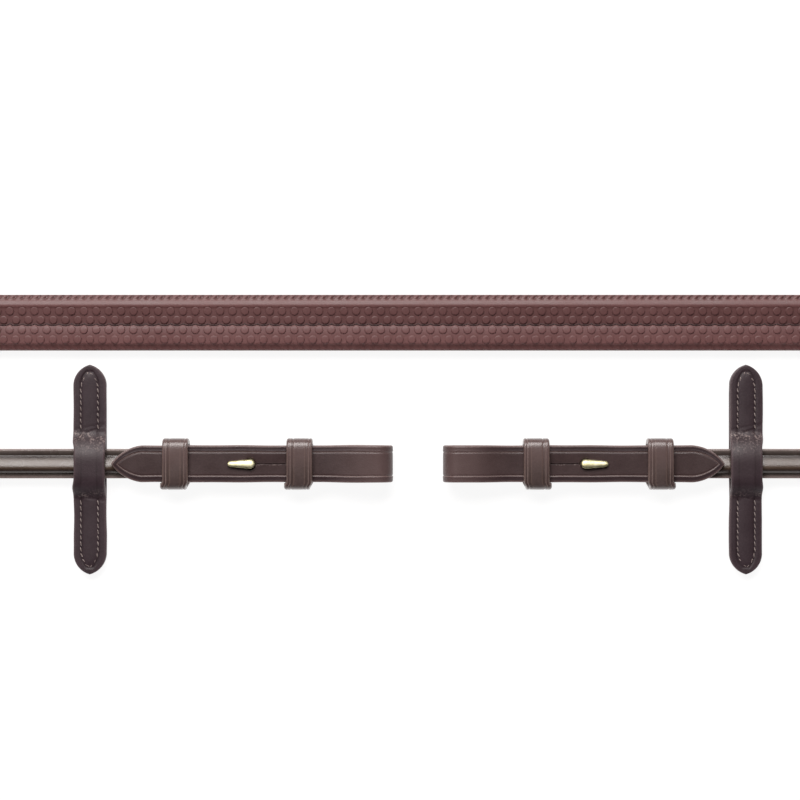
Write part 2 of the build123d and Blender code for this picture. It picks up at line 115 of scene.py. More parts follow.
PITCH, HEART, POINTS_PER_TURN = 8.6, 22.0, 24
CORE_HALF, CORE_THICK, CORE_MID = 8.0, 2.6, 3.35
HAND_END = span("hand_strap_left")[0][0]
BAR_X, BAR_Z, BAR_RADIUS = -245.0, 6.15, 1.4


# ------------------------------------------------------------------ camera, lights and shader nodes
def add_camera():
    """A long lens looking straight down over the bit ends and the grip above them."""
    lens, sensor, seen_width, strap_height = 100.0, 36.0, 344.0, 6.0
    over_x, over_y = -7.7, 27.4
    data = bpy.data.cameras.new("camera")
    data.lens = lens
    data.sensor_width = sensor
    data.clip_start = 0.01
    data.clip_end = 20
    camera = bpy.data.objects.new("camera", data)
    bpy.context.scene.collection.objects.link(camera)
    camera.location = place((over_x, over_y, seen_width * lens / sensor + strap_height))
    bpy.context.scene.camera = camera


def add_light(name, where, aim, size, power, colour):
    """A rectangular soft box at where, facing aim, both in millimetres from the middle."""
    data = bpy.data.lights.new(name, "AREA")
    data.shape = "RECTANGLE"
    data.size, data.size_y = size
    data.energy = power
    data.color = colour
    light = bpy.data.objects.new(name, data)
    bpy.context.scene.collection.objects.link(light)
    light.location = place(where)
    direction = light.location - type(light.location)(place(aim))
    light.rotation_euler = direction.to_track_quat("Z", "Y").to_euler()
    return light


def linear(code):
    """An sRGB hex colour as linear red, green, blue and alpha."""
    part = np.array([int(code[i:i + 2], 16) for i in (1, 3, 5)]) / 255
    return tuple(np.where(part <= 0.04045, part / 12.92, ((part + 0.055) / 1.055) ** 2.4)) + (1.0,)


def add(tree, kind, links=None, **settings):
    """A node of this kind. links gives its inputs, each a value or another node's output."""
    made = tree.nodes.new("ShaderNode" + kind)
    for key, value in settings.items():
        setattr(made, key, value)
    for key, value in (links or {}).items():
        if isinstance(value, bpy.types.NodeSocket):
            tree.links.new(value, made.inputs[key])
        else:
            made.inputs[key].default_value = value
    return made


def new_material(name):
    """A material with no nodes yet, and its tree."""
    material = bpy.data.materials.new(name)
    material.use_nodes = True
    material.node_tree.nodes.clear()
    return material, material.node_tree


# ------------------------------------------------------------------ materials
EDGE_REACH = 8.0


def per_mm(size):
    """Texture scale, in cells per metre, of a pattern whose grains are this many millimetres."""
    return 1 / (size * MM)


def ramp(tree, factor, stops, reach):
    """Colours by a factor from 0 to 1: each stop is a number up to reach and a colour."""
    made = add(tree, "ValToRGB", {"Fac": factor})
    elements = made.color_ramp.elements
    while len(elements) < len(stops):
        elements.new(0.5)
    for element, (position, code) in zip(elements, stops):
        element.position = position / reach
        element.color = linear(code)
    return made.outputs["Color"]


def own_mark(tree, name):
    """One of the marks that make() gives a piece, a number for each point."""
    return add(tree, "Attribute", attribute_name=name).outputs["Fac"]


def object_place(tree):
    """Where a point lies on its piece, so that patterns move with it."""
    return add(tree, "TexCoord").outputs["Object"]


def noise(tree, at, size, detail, distortion=0.0):
    """Cloudy noise from 0 to 1 whose grains are size millimetres."""
    links = {"Vector": at, "Scale": per_mm(size), "Detail": detail, "Distortion": distortion}
    return add(tree, "TexNoise", links).outputs["Fac"]


def combine(tree, operation, a, b):
    """Two numbers added, multiplied or divided."""
    return add(tree, "Math", {0: a, 1: b}, operation=operation).outputs[0]


def remap(tree, value, start, end, low=0.0, high=1.0):
    """A value from start to end, spread from low to high and held there outside."""
    links = {"Value": value, "From Min": start, "From Max": end, "To Min": low, "To Max": high}
    return add(tree, "MapRange", links).outputs[0]


def mix(tree, factor, a, b, blend="MIX"):
    """Colour a at factor 0, blended with colour b as it goes to 1."""
    return add(tree, "Mix", {"Factor": factor, 6: a, 7: b}, data_type="RGBA", blend_type=blend).outputs[2]


def bumped(tree, height, strength, depth, over=None):
    """The direction of a surface with this relief, depth millimetres deep, laid over another's."""
    links = {"Height": height, "Strength": strength, "Distance": depth * MM}
    if over is not None:
        links["Normal"] = over
    return add(tree, "Bump", links).outputs[0]


def surface(tree, links):
    """The shader with these inputs, as what the material shows."""
    shader = add(tree, "BsdfPrincipled", links)
    add(tree, "OutputMaterial", {"Surface": shader.outputs[0]})


def leather(name, tones, flesh, roughness, grain, relief, crease=0.0, coat=0.0, scuff_and_highlight="#8A7A76"):
    """Dyed and dressed bridle leather. Its colour follows the distance from the strap's edge:
    a pale rim, a dark band, a pale crease line and the body; the pale rim and crease line are painted
    highlights on the rounded edge and the crease's wall. Fine pores and faint folds come as bump, it pales
    where a bend pulls it and where a highlight is painted, patchy pale marks stand for scuffs and painted
    highlights, and the flesh side is paler and rough."""
    uneven, stretched_and_lit, flesh_roughness = 0.18, "#786260", 0.9
    material, tree = new_material(name)
    at = object_place(tree)
    under = own_mark(tree, "flesh")
    body = ramp(tree, combine(tree, "DIVIDE", own_mark(tree, "edge"), EDGE_REACH), tones, EDGE_REACH)
    cloud, speck = noise(tree, at, 9, 4.0), noise(tree, at, grain * 2, 2.0)
    folds = noise(tree, at, 3.5, 5.0, 1.5)
    tint = remap(tree, combine(tree, "ADD", cloud, speck), 0.6, 1.4, 1 - uneven, 1 + uneven)
    worn = mix(tree, 1.0, body, tint, "MULTIPLY")
    # Pales where a bend pulls the leather, and where a highlight is painted on.
    pulled_and_lit = mix(tree, own_mark(tree, "pull_and_highlight"), worn, linear(stretched_and_lit))
    sides = mix(tree, under, pulled_and_lit, linear(flesh))
    # Patchy pale marks: scuffs, and on the billet painted highlights.
    patchy = combine(tree, "MULTIPLY", remap(tree, speck, 0.48, 0.6), remap(tree, folds, 0.4, 0.58))
    scuffs_and_highlights = combine(tree, "MULTIPLY", own_mark(tree, "scuff_and_highlight"), patchy)
    pores = add(tree, "TexVoronoi", {"Vector": at, "Scale": per_mm(grain)}).outputs["Distance"]
    fine = combine(tree, "ADD", pores, noise(tree, at, grain * 0.6, 3.0))
    matte = remap(tree, cloud, 0.3, 0.7, roughness - 0.06, roughness + 0.06)
    rough = add(tree, "Mix", {"Factor": under, 2: matte, 3: flesh_roughness}, data_type="FLOAT")
    surface(tree, {
        "Base Color": mix(tree, scuffs_and_highlights, sides, linear(scuff_and_highlight)), "Roughness": rough.outputs[0],
        "Normal": bumped(tree, folds, crease, 0.5, over=bumped(tree, fine, relief, 0.08)),
        "IOR": 1.48, "Coat Weight": coat, "Coat Roughness": 0.22,
    })
    return material


def rubber(name, body, painted_shade, roughness):
    """Moulded pimple rubber. A silky, slightly dusty surface, painted darker where its shade mark lies, with
    fine moulding grain as bump."""
    material, tree = new_material(name)
    at = object_place(tree)
    cloud, dust = noise(tree, at, 14, 5.0), noise(tree, at, 0.7, 2.0)
    # Painted shade: the mark blends the body colour towards the darker second colour.
    base = mix(tree, own_mark(tree, "painted_shade"), linear(body), linear(painted_shade))
    tint = remap(tree, combine(tree, "ADD", cloud, dust), 0.6, 1.4, 0.86, 1.14)
    surface(tree, {
        "Base Color": mix(tree, 1.0, base, tint, "MULTIPLY"),
        "Roughness": remap(tree, cloud, 0.3, 0.7, roughness - 0.05, roughness + 0.05),
        "Normal": bumped(tree, dust, 0.35, 0.12), "IOR": 1.5,
    })
    return material


def brass():
    """Cast and polished brass: a warm metal with faint polishing marks and small matt spots."""
    material, tree = new_material("polished_brass")
    at = object_place(tree)
    cloud, marks = noise(tree, at, 2, 4.0), noise(tree, at, 0.5, 2.0)
    surface(tree, {
        "Base Color": ramp(tree, cloud, [(0.35, "#D6CFA0"), (0.65, "#ECE7C4")], 1.0),
        "Roughness": remap(tree, cloud, 0.3, 0.7, 0.46, 0.54),
        "Normal": bumped(tree, marks, 0.06, 0.05), "Metallic": 1.0,
    })
    return material


def waxed_thread(name, pale, dark):
    """Waxed linen thread: a soft matte fibre whose plies, 0.35 mm apart along it, show as
    slanting light and dark stripes."""
    material, tree = new_material(name)
    links = {"Vector": object_place(tree), "Scale": per_mm(0.35) / 6.28, "Distortion": 2.0}
    plies = add(tree, "TexWave", links, bands_direction="DIAGONAL").outputs["Fac"]
    surface(tree, {
        "Base Color": mix(tree, plies, linear(dark), linear(pale)), "Roughness": 0.6,
        "Normal": bumped(tree, plies, 0.4, 0.1), "Sheen Weight": 0.3,
    })
    return material


# The pale rim and the pale line at 2.75 mm are painted highlights on the rounded edge and the crease's wall.
BILLET_LEATHER = leather(
    "dressed_bridle_leather",
    [(0.0, "#8A7573"), (0.5, "#5E4B49"), (1.0, "#35272A"), (2.3, "#38292B"), (2.75, "#725F5C"),
     (3.1, "#453535"), (4.0, "#443535")],
    "#66503F", 0.42, 0.45, 0.35, crease=0.05,
)
# The pale rim and the pale lines at 1.6 and 3.2 mm are painted highlights on the rounded edge and beside the
# creases.
KEEPER_LEATHER = leather(
    "creased_keeper_leather",
    [(0.0, "#78645E"), (0.8, "#584845"), (1.3, "#3E3030"), (1.6, "#7D6B66"), (2.0, "#4F413E"),
     (2.9, "#483A38"), (3.2, "#66554F"), (3.6, "#534543")],
    "#66503F", 0.36, 0.4, 0.4, crease=0.08, coat=0.6,
)
# The pale rim is a painted highlight on the rounded edge; the tone is darkest along the stitch channel, 3.4
# mm in.
STOP_LEATHER_SKIN = leather(
    "soft_stop_leather",
    [(0.0, "#5E4E50"), (0.6, "#4A3B40"), (1.2, "#3A2D32"), (2.9, "#372A2F"), (3.4, "#2F2327"),
     (3.9, "#392C31")],
    "#5A4238", 0.5, 0.4, 0.5, crease=0.12, scuff_and_highlight="#93837F",
)
# The pale edges and the pale crest from 4.7 mm in are painted highlights; between them the tone is darkest at
# 3.6 mm.
RAISED_LEATHER = leather(
    "polished_raised_leather",
    [(0.0, "#8D7E7A"), (0.6, "#7C6E6A"), (1.2, "#5A504C"), (1.9, "#443C38"), (3.6, "#322724"),
     (4.7, "#4F4035")],
    "#66503F", 0.3, 0.5, 0.45, coat=0.5,
)
# The second colour is the painted shade.
GRIP_RUBBER = rubber("moulded_pimple_rubber", "#704C4B", "#523534", 0.44)
BRASS = brass()
STOP_THREAD = waxed_thread("pale_waxed_thread", "#A39490", "#7A6A66")
DARK_THREAD = waxed_thread("dark_waxed_thread", "#4E3434", "#2C1C1C")


# ------------------------------------------------------------------ lines and meshes
def unit(v):
    """Vectors scaled to length one."""
    return v / np.maximum(np.linalg.norm(v, axis=-1, keepdims=True), 1e-12)


def lengths(line):
    """Distance along a line to each of its points."""
    return np.concatenate([[0], np.cumsum(np.linalg.norm(np.diff(line, axis=0), axis=1))])


def pick(values, along, places):
    """Rows of an array given at distances along, read at other distances."""
    return np.stack([np.interp(places, along, values[:, k]) for k in range(values.shape[1])], -1)


def ease(t):
    """A smooth step from 0 to 1: 3 t^2 - 2 t^3."""
    t = np.clip(t, 0, 1)
    return t * t * (3 - 2 * t)


def rounded(d, radius):
    """How far an edge of this radius has fallen at distance d in from the side: a quarter circle."""
    inside = np.clip(radius - d, 0, radius)
    return radius - np.sqrt(np.maximum(radius**2 - inside**2, 0))


def swell(x, middle, width):
    """A smooth bump of height one: e^-((x - middle) / width)^2."""
    return np.exp(-(((x - middle) / width) ** 2))


def pointed(t, half, point):
    """Half width at distance t from the tip of a gothic point: an arc tangent to the side."""
    radius = (half**2 + point**2) / (2 * half)
    x = np.clip(point - t, 0, point)
    return np.maximum(half - radius + np.sqrt(radius**2 - x**2), 0.02)


def grid_faces(rows, cols, ring):
    """Quads of a grid of points, closed round its columns and, on a ring, round its rows."""
    r, c = np.meshgrid(np.arange(rows if ring else rows - 1), np.arange(cols), indexing="ij")
    r2, c2 = (r + 1) % rows, (c + 1) % cols
    return np.stack([r * cols + c, r * cols + c2, r2 * cols + c2, r2 * cols + c], -1).reshape(-1, 4)


def end_caps(rows, cols):
    """The two faces that close a grid of points at its first and last row."""
    return [list(range(cols)), list(range((rows - 1) * cols, rows * cols))]


def join(shells):
    """Several shells, each points and faces, as one."""
    points, faces, base = [], [], 0
    for shell_points, shell_faces in shells:
        points.append(np.asarray(shell_points).reshape(-1, 3))
        faces += [[base + i for i in face] for face in shell_faces]
        base += len(points[-1])
    return np.concatenate(points), faces


def make(name, points, faces, material, body, replaced, uv=None, marks=None):
    """A smooth, outward-facing mesh from points and faces, with its UV map and its named marks,
    one number for each point. It rides on a body and stands for the nodes it replaces."""
    mesh = bpy.data.meshes.new(name)
    mesh.from_pydata(points.reshape(-1, 3).tolist(), [], [list(map(int, face)) for face in faces])
    if uv is not None:
        corner = np.empty(len(mesh.loops), dtype=np.int32)
        mesh.loops.foreach_get("vertex_index", corner)
        layer = mesh.uv_layers.new(name="strap")
        layer.data.foreach_set("uv", uv.reshape(-1, 2)[corner].ravel())
    for key, values in (marks or {}).items():
        attribute = mesh.attributes.new(key, "FLOAT", "POINT")
        attribute.data.foreach_set("value", np.asarray(values, dtype=np.float32).ravel())
    shell = bmesh.new()
    shell.from_mesh(mesh)
    bmesh.ops.recalc_face_normals(shell, faces=shell.faces)
    shell.to_mesh(mesh)
    shell.free()
    mesh.polygons.foreach_set("use_smooth", [True] * len(mesh.polygons))
    mesh.materials.append(material)
    piece = bpy.data.objects.new(name, mesh)
    bpy.context.scene.collection.objects.link(piece)
    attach(piece, body)
    if replaced:
        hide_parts(*replaced)
    return piece


def across(count, fine=()):
    """Positions from edge to edge of a strap, -1 to 1, closer together at both edges, with
    extra ones where the section has fine detail."""
    even = np.linspace(-1, 1, count)
    packed = 0.6
    spread = packed * np.sin(even * math.pi / 2) + (1 - packed) * even
    return np.unique(np.concatenate([spread, np.asarray(fine, float)]))


def strap(name, line, wide, up, half, top, low, material, body, replaced, *,
          ring=False, tops=None, lows=None, shift=None, marks=None):
    """A strap as a grid of points: P(s, w) = line(s) + w wide(s) + h up(s). w runs over the top
    from edge to edge and back underneath. h is top(s, w, d) or low(s, w, d), where d is the
    distance from the nearer edge. shift(s, w) slides columns sideways, and each of marks is a
    rule(s, w, d) for a number on the top. All in millimetres but the line. wide and up are one
    direction or one for each point."""
    rows = len(line)
    wide, up = np.broadcast_to(wide, line.shape), np.broadcast_to(up, line.shape)
    s = lengths(line) / MM
    half = np.broadcast_to(np.asarray(half, dtype=float), (rows,))[:, None]
    u_top = across(34) if tops is None else tops
    u_low = (across(12) if lows is None else lows)[::-1]
    w_top, w_low = half * u_top[None], half * u_low[None]
    if shift is not None:
        w_top = w_top + shift(s[:, None], w_top)
    d_top, d_low = half - np.abs(w_top), half - np.abs(w_low)
    w = np.concatenate([w_top, w_low], 1)
    h = np.concatenate([top(s[:, None], w_top, d_top), low(s[:, None], w_low, d_low)], 1)
    points = line[:, None] + (wide[:, None] * w[..., None] + up[:, None] * h[..., None]) * MM
    cols = w.shape[1]
    faces = grid_faces(rows, cols, ring).tolist()
    if not ring:
        faces += end_caps(rows, cols)
    found = {
        "edge": np.concatenate([d_top, d_low], 1),
        "flesh": np.concatenate([np.zeros_like(w_top), ease(d_low / 0.4)], 1),
    }
    for key, rule in (marks or {}).items():
        found[key] = np.concatenate([rule(s[:, None], w_top, d_top) + 0 * w_top, 0 * w_low], 1)
    uv = np.stack([np.broadcast_to(s[:, None], w.shape), w], -1) * MM
    return make(name, points, faces, material, body, replaced, uv=uv, marks=found)


def tube(line, radii, sides=12, ring=False):
    """A round bar: a circle of radius radii(s) carried along the line. Points and faces."""
    rows = len(line)
    if ring:
        ahead = unit(np.roll(line, -1, 0) - np.roll(line, 1, 0))
    else:
        ahead = unit(np.gradient(line, axis=0))
    up = np.broadcast_to([0.0, 0.0, 1.0], ahead.shape)
    steep = np.abs(ahead[:, 2:3]) > 0.9
    up = np.where(steep, [0.0, 1.0, 0.0], up)
    first = unit(np.cross(ahead, up))
    second = np.cross(first, ahead)
    angle = np.arange(sides) * 2 * math.pi / sides
    radii = np.broadcast_to(np.asarray(radii, dtype=float), (rows,))[:, None, None] * MM
    points = line[:, None] + radii * (
        first[:, None] * np.cos(angle)[None, :, None] + second[:, None] * np.sin(angle)[None, :, None]
    )
    faces = grid_faces(rows, sides, ring).tolist()
    if not ring:
        faces += end_caps(rows, sides)
    return points, faces


# ------------------------------------------------------------------ routes of the straps
def roll_points(side):
    """The turns of a roll wound from its middle: a spiral in, an S through the middle, and a
    spiral out, each strand two pitches per turn."""
    low, high = span(f"roll_{side}")
    x, y = (low[0] + high[0]) / 2, (low[1] + high[1]) / 2
    outer = (high[0] - low[0]) / 2 - PITCH / 2
    inner = outer - PITCH
    turn_in = (inner - HEART) / (2 * PITCH) * 2 * math.pi
    turn_out = (outer - HEART) / (2 * PITCH) * 2 * math.pi
    step = 2 * math.pi / POINTS_PER_TURN
    a = np.linspace(0, turn_in, int(turn_in / step) + 1)
    b = np.linspace(0, turn_out, int(turn_out / step) + 1)
    last = math.pi / 2 + turn_in
    first_radius, second_radius = inner - PITCH * a / math.pi, HEART + PITCH * b / math.pi
    spiral_in = first_radius[:, None] * np.stack([np.cos(math.pi / 2 + a), np.sin(math.pi / 2 + a)], 1)
    back = last + math.pi - b
    spiral_out = second_radius[:, None] * np.stack([np.cos(back), np.sin(back)], 1)
    s = np.linspace(0, math.pi, 9)[1:-1]
    half = HEART / 2
    axis = half * np.array([math.cos(last), math.sin(last)])
    near = axis + half * np.stack([np.cos(last + s), np.sin(last + s)], 1)
    far = -axis + half * np.stack([np.cos(last - s), np.sin(last - s)], 1)
    turns = np.concatenate([spiral_in, near, far, spiral_out])
    if side == "right":
        turns[:, 0] *= -1
    return turns + [x, y]


def route(side, rise):
    """Control points of one whole strap, from its splice to the end of its grip. In the roll its
    middle is rise above the table."""
    sign = -1 if side == "left" else 1
    flat, grip_flat = STRAP_LOW + FLANGE / 2, GRIP_THICK / 2
    inner_y = BAND_Y - PITCH
    front = [
        (sign * SPLICE, 0, flat),
        (sign * 150, 0, flat),
        (sign * TURN_START, 0, flat),
        (sign * 214, 0, 8.2),
        (sign * 274.7, 0, 6.4),
        (sign * 307.3, inner_y, rise),
        (sign * 368.7, inner_y, rise),
    ]
    if side == "left":
        back = [(-376, BAND_Y, rise), (HAND_END, BAND_Y, rise)]
    else:
        back = [
            (352, BAND_Y, rise),
            (300, BAND_Y, rise),
            (259, BAND_Y, 12.1),
            (229, BAND_Y, 12.9),
            (214, BAND_Y, 11.9),
            (199, BAND_Y, 6.9),
            (TURN_START, BAND_Y, grip_flat),
            (150, BAND_Y, grip_flat),
            (0, BAND_Y, grip_flat),
            (GRIP_END, BAND_Y, grip_flat),
        ]
    turns = [(x, y, rise) for x, y in roll_points(side)]
    return front + turns + back


def smooth_line(points):
    """Points along the smooth spline with these control points, in metres."""
    data = bpy.data.curves.new("line", "CURVE")
    data.dimensions = "3D"
    data.resolution_u = 12
    spline = data.splines.new("NURBS")
    spline.points.add(len(points) - 1)
    placed = np.concatenate([place(points), np.ones((len(points), 1))], 1)
    spline.points.foreach_set("co", placed.ravel())
    spline.order_u = 3
    spline.use_endpoint_u = True
    holder = bpy.data.objects.new("line", data)
    mesh = bpy.data.meshes.new_from_object(holder)
    found = np.empty(len(mesh.vertices) * 3)
    mesh.vertices.foreach_get("co", found)
    bpy.data.objects.remove(holder)
    bpy.data.curves.remove(data)
    bpy.data.meshes.remove(mesh)
    return found.reshape(-1, 3)


def strap_frame(line, turn, sense):
    """Directions across a strap and out of its face. turn is how far it has turned on edge at
    each point, from 0, flat, to 1. The face turns from up to the strap's side, on the left of
    its way where sense is 1, and the width from that side to down."""
    ahead = unit(np.gradient(line, axis=0))
    angle = math.pi / 2 * turn[:, None]
    level = unit(ahead * [1, 1, 0])
    beside = sense * np.stack([-level[:, 1], level[:, 0], np.zeros(len(line))], 1)
    down = np.array([0.0, 0.0, -1.0])
    up = unit(-down * np.cos(angle) + beside * np.sin(angle))
    up = unit(up - (up * ahead).sum(1, keepdims=True) * ahead)
    wide = unit(beside * np.cos(angle) + down * np.sin(angle))
    wide = unit(wide - (wide * ahead).sum(1, keepdims=True) * ahead)
    return wide, up


# ------------------------------------------------------------------ the bit ends
def blurred(values, width):
    """A moving average over this many points, with the ends held."""
    return np.convolve(np.pad(values, width // 2, mode="edge"), np.ones(width) / width, "valid")


def billet(side, sign):
    """One strap of leather: a skived tongue under the front strap, the base layer, the bit loop
    and the layer that comes back over it to a gothic point. Its middle line is
    z(out) on each layer, joined by a half circle round the bit."""
    base_z, top_z = STRAP_LOW + BILLET_THICK / 2, STRAP_LOW + 1.5 * BILLET_THICK + 0.1
    loop_low = BILLET_THICK / 2
    fold_radius = (LOOP_GAP + BILLET_THICK) / 2
    loop_high = loop_low + 2 * fold_radius
    fold_x = FOLD_END + fold_radius + BILLET_THICK / 2
    tongue_end, tongue_thick, tongue_half, edge_step = SPLICE + 27, 1.4, 5.0, 0.3
    loop_flat, loop_run, step = 19, 25, 0.5

    out_tongue = np.arange(tongue_end, SPLICE + edge_step, -3.0)
    out_base = np.arange(SPLICE - edge_step, fold_x, -step)
    z_base = base_z + (loop_low - base_z) * ease((loop_flat + loop_run - out_base) / loop_run)
    angle = np.arange(-90, 91, 6) * math.pi / 180
    out_fold = fold_x - fold_radius * np.cos(angle)
    z_fold = loop_low + fold_radius * (1 + np.sin(angle))
    out_top = np.append(np.arange(fold_x + step, BILLET_TIP, step * 0.9), BILLET_TIP)
    over = np.clip((out_top - SPLICE) / (BILLET_TIP - SPLICE), 0, 1)
    z_top = loop_high + (top_z - loop_high) * ease((out_top - loop_flat) / loop_run)
    z_top = z_top + POINT_RISE * over**1.5

    out = np.concatenate([out_tongue, out_base, out_fold, out_top])
    z = np.concatenate([np.full(len(out_tongue), STRAP_LOW + tongue_thick / 2), z_base, z_fold, z_top])
    layer = np.concatenate([0 * out_tongue, 0 * out_base, 0 * out_fold, 0 * out_top + 1])
    upper = np.concatenate([0 * out_tongue, 0 * out_base, ease(angle + 0.5), 0 * out_top + 1])
    thick = np.where(np.arange(len(out)) < len(out_tongue), tongue_thick, BILLET_THICK)
    thick = thick - layer * 0.8 * ease((out - SPLICE) / (BILLET_TIP - SPLICE))
    wave = 0.06 * np.sin(out / 9.3 + sign) + 0.05 * np.sin(out / 3.7)
    half = np.where(thick < BILLET_THICK / 2, tongue_half, BILLET_HALF - 0.1 + wave)
    point = pointed(BILLET_TIP - out, BILLET_HALF, BILLET_POINT)
    half = np.where(layer > 0, np.minimum(half, point), half)

    flat = np.stack([out, 0 * out, z], 1)
    ahead = unit(np.gradient(flat, axis=0))
    up = np.stack([-ahead[:, 2], 0 * out, ahead[:, 0]], 1)
    mirror = np.array([sign, 1, 1])
    s = lengths(flat)

    def read(values, at_s):
        return np.interp(at_s, s, values)

    def slit_window(at_out):
        return ease((at_out - SLIT_START + 5) / 5) * ease((STUD_AT + 3 - at_out) / 3)

    def top(at_s, w, d):
        where, on_top = read(out, at_s), read(layer, at_s) > 0.5
        h = read(thick, at_s) / 2 - rounded(d, 0.75)
        pressed = -0.22 * swell(d, 2.9, 0.28) + 0.1 * swell(d, 2.3, 0.4)
        h = h + np.where(read(thick, at_s) > 2, pressed, 0)
        window = np.where(on_top, slit_window(where), 0)
        h = h + window * np.where(w > 0, -0.5 * ease((5 - w) / 5), 0.12 * ease((w + 4) / 4))
        slit = on_top & (where > SLIT_START) & (where < STUD_AT) & (np.abs(w) < 0.16)
        h = np.where(slit, h - 1.6, h)
        hole = np.hypot(where - STUD_AT, w)
        return np.where(on_top, h - 2.2 * ease((2.35 - hole) / 0.5), h)

    def low(at_s, w, d):
        return -read(thick, at_s) / 2 + rounded(d, 0.3)

    # Painted highlights: a pale line along the slit's lower lip and a pale fold end.
    def scuff_and_highlight(at_s, w, d):
        where, on_top = read(out, at_s), read(layer, at_s) > 0.5
        lip = on_top & (where > SLIT_START) & (where < STUD_AT - 1.5) & (w < -0.1) & (w > -0.6)
        fold = ease((FOLD_END + 4.5 - where) / 4)
        return np.where(lip, 0.8, 0) + 0.25 * fold

    # Pale where the top layer is pulled round the bit, plus a painted highlight over the last 2.5 mm at the
    # fold.
    def pull_and_highlight(at_s, w, d):
        where = read(out, at_s)
        return read(upper, at_s) * 0.42 * ease((42 - where) / 28) + 0.5 * ease((FOLD_END + 2.5 - where) / 2.5)

    slit_rows = np.array([-0.6, -0.45, -0.28, -0.18, -0.12, 0.0, 0.12, 0.18, 0.28, 0.45]) / BILLET_HALF
    crease_rows = np.array([2.2, 2.6, 2.75, 2.9, 3.05, 3.3]) / BILLET_HALF
    tops = across(44, np.concatenate([slit_rows, 1 - crease_rows, crease_rows - 1]))
    strap(
        f"billet_leather_{side}", place(flat * mirror), Y_WAY,
        up * mirror, half, top, low, BILLET_LEATHER, "reins", [f"billet_{side}"],
        tops=tops, marks={"scuff_and_highlight": scuff_and_highlight, "pull_and_highlight": pull_and_highlight},
    )


def loop_keeper(name, x, lean, low_z, high_z, half_y, mid_y, width, thick, body, node):
    """A leather loop round a strap: its middle line is a rounded box, the superellipse
    |y / a|^5 + |z / b|^5 = 1, with the near side of the loop leaning outwards along the strap.
    Its top is painted paler towards the far side, and its sides and underside are painted pale: painted
    highlight where light would fall. A leaning loop has its wider border on the outer side."""
    count, rows, power = 96, 120, 2 / 5
    t = np.arange(count) * 2 * math.pi / count
    cos, sin = np.cos(t), np.sin(t)
    a, b = half_y - thick / 2, (high_z - low_z - thick) / 2
    y = a * np.sign(cos) * np.abs(cos) ** power
    z = b * np.sign(sin) * np.abs(sin) ** power
    slide = lean * ease((-y - 0.78 * a) / (0.22 * a))
    y = np.where(y < 0, y * (1 - 0.04 * (1 + z / b)), y)
    flat = np.stack([x + slide, mid_y + y, (low_z + high_z) / 2 + z], 1)
    even = np.linspace(0, 1, rows + 1)[:-1]
    closed = np.concatenate([flat, flat[:1]])
    along = lengths(closed)
    flat = pick(closed, along, even * along[-1])
    ahead = np.roll(flat, -1, 0) - np.roll(flat, 1, 0)
    ahead[:, 0] = 0
    ahead = unit(ahead)
    up = np.stack([0 * ahead[:, 0], ahead[:, 2], -ahead[:, 1]], 1)
    half, narrow, broad = width / 2, 1.5, width / 4

    def top(s, w, d):
        edge = min(0.9, thick * 0.35)
        outer_crease = -0.22 * swell(d, broad, 0.28) - 0.05 * swell(d, narrow, 0.22)
        inner_crease = -0.2 * swell(d, narrow, 0.24) - 0.04 * swell(d, broad, 0.26)
        return thick / 2 - rounded(d, edge) + np.where(w * lean > 0, outer_crease, inner_crease)

    def low(s, w, d):
        return -thick / 2 + rounded(d, 0.3)

    around = lengths(flat)

    # Painted highlight: paler over the top towards the far side, and pale on the sides and underside.
    def pull_and_highlight(s, w, d):
        at_y = np.interp(s, around, flat[:, 1] - mid_y) / half_y
        lit = np.interp(s, around, up[:, 2])
        return np.where(lit > 0.5, 0.4 * ease((at_y + 0.55) / 1.1), 0.35)

    creases = np.array([narrow - 0.3, narrow, narrow + 0.3, broad - 0.3, broad, broad + 0.3]) / half
    strap(
        name, place(flat), X_WAY, up, half, top, low,
        KEEPER_LEATHER, body, [node], ring=True,
        tops=across(26, np.concatenate([1 - creases, creases - 1])), marks={"pull_and_highlight": pull_and_highlight},
    )


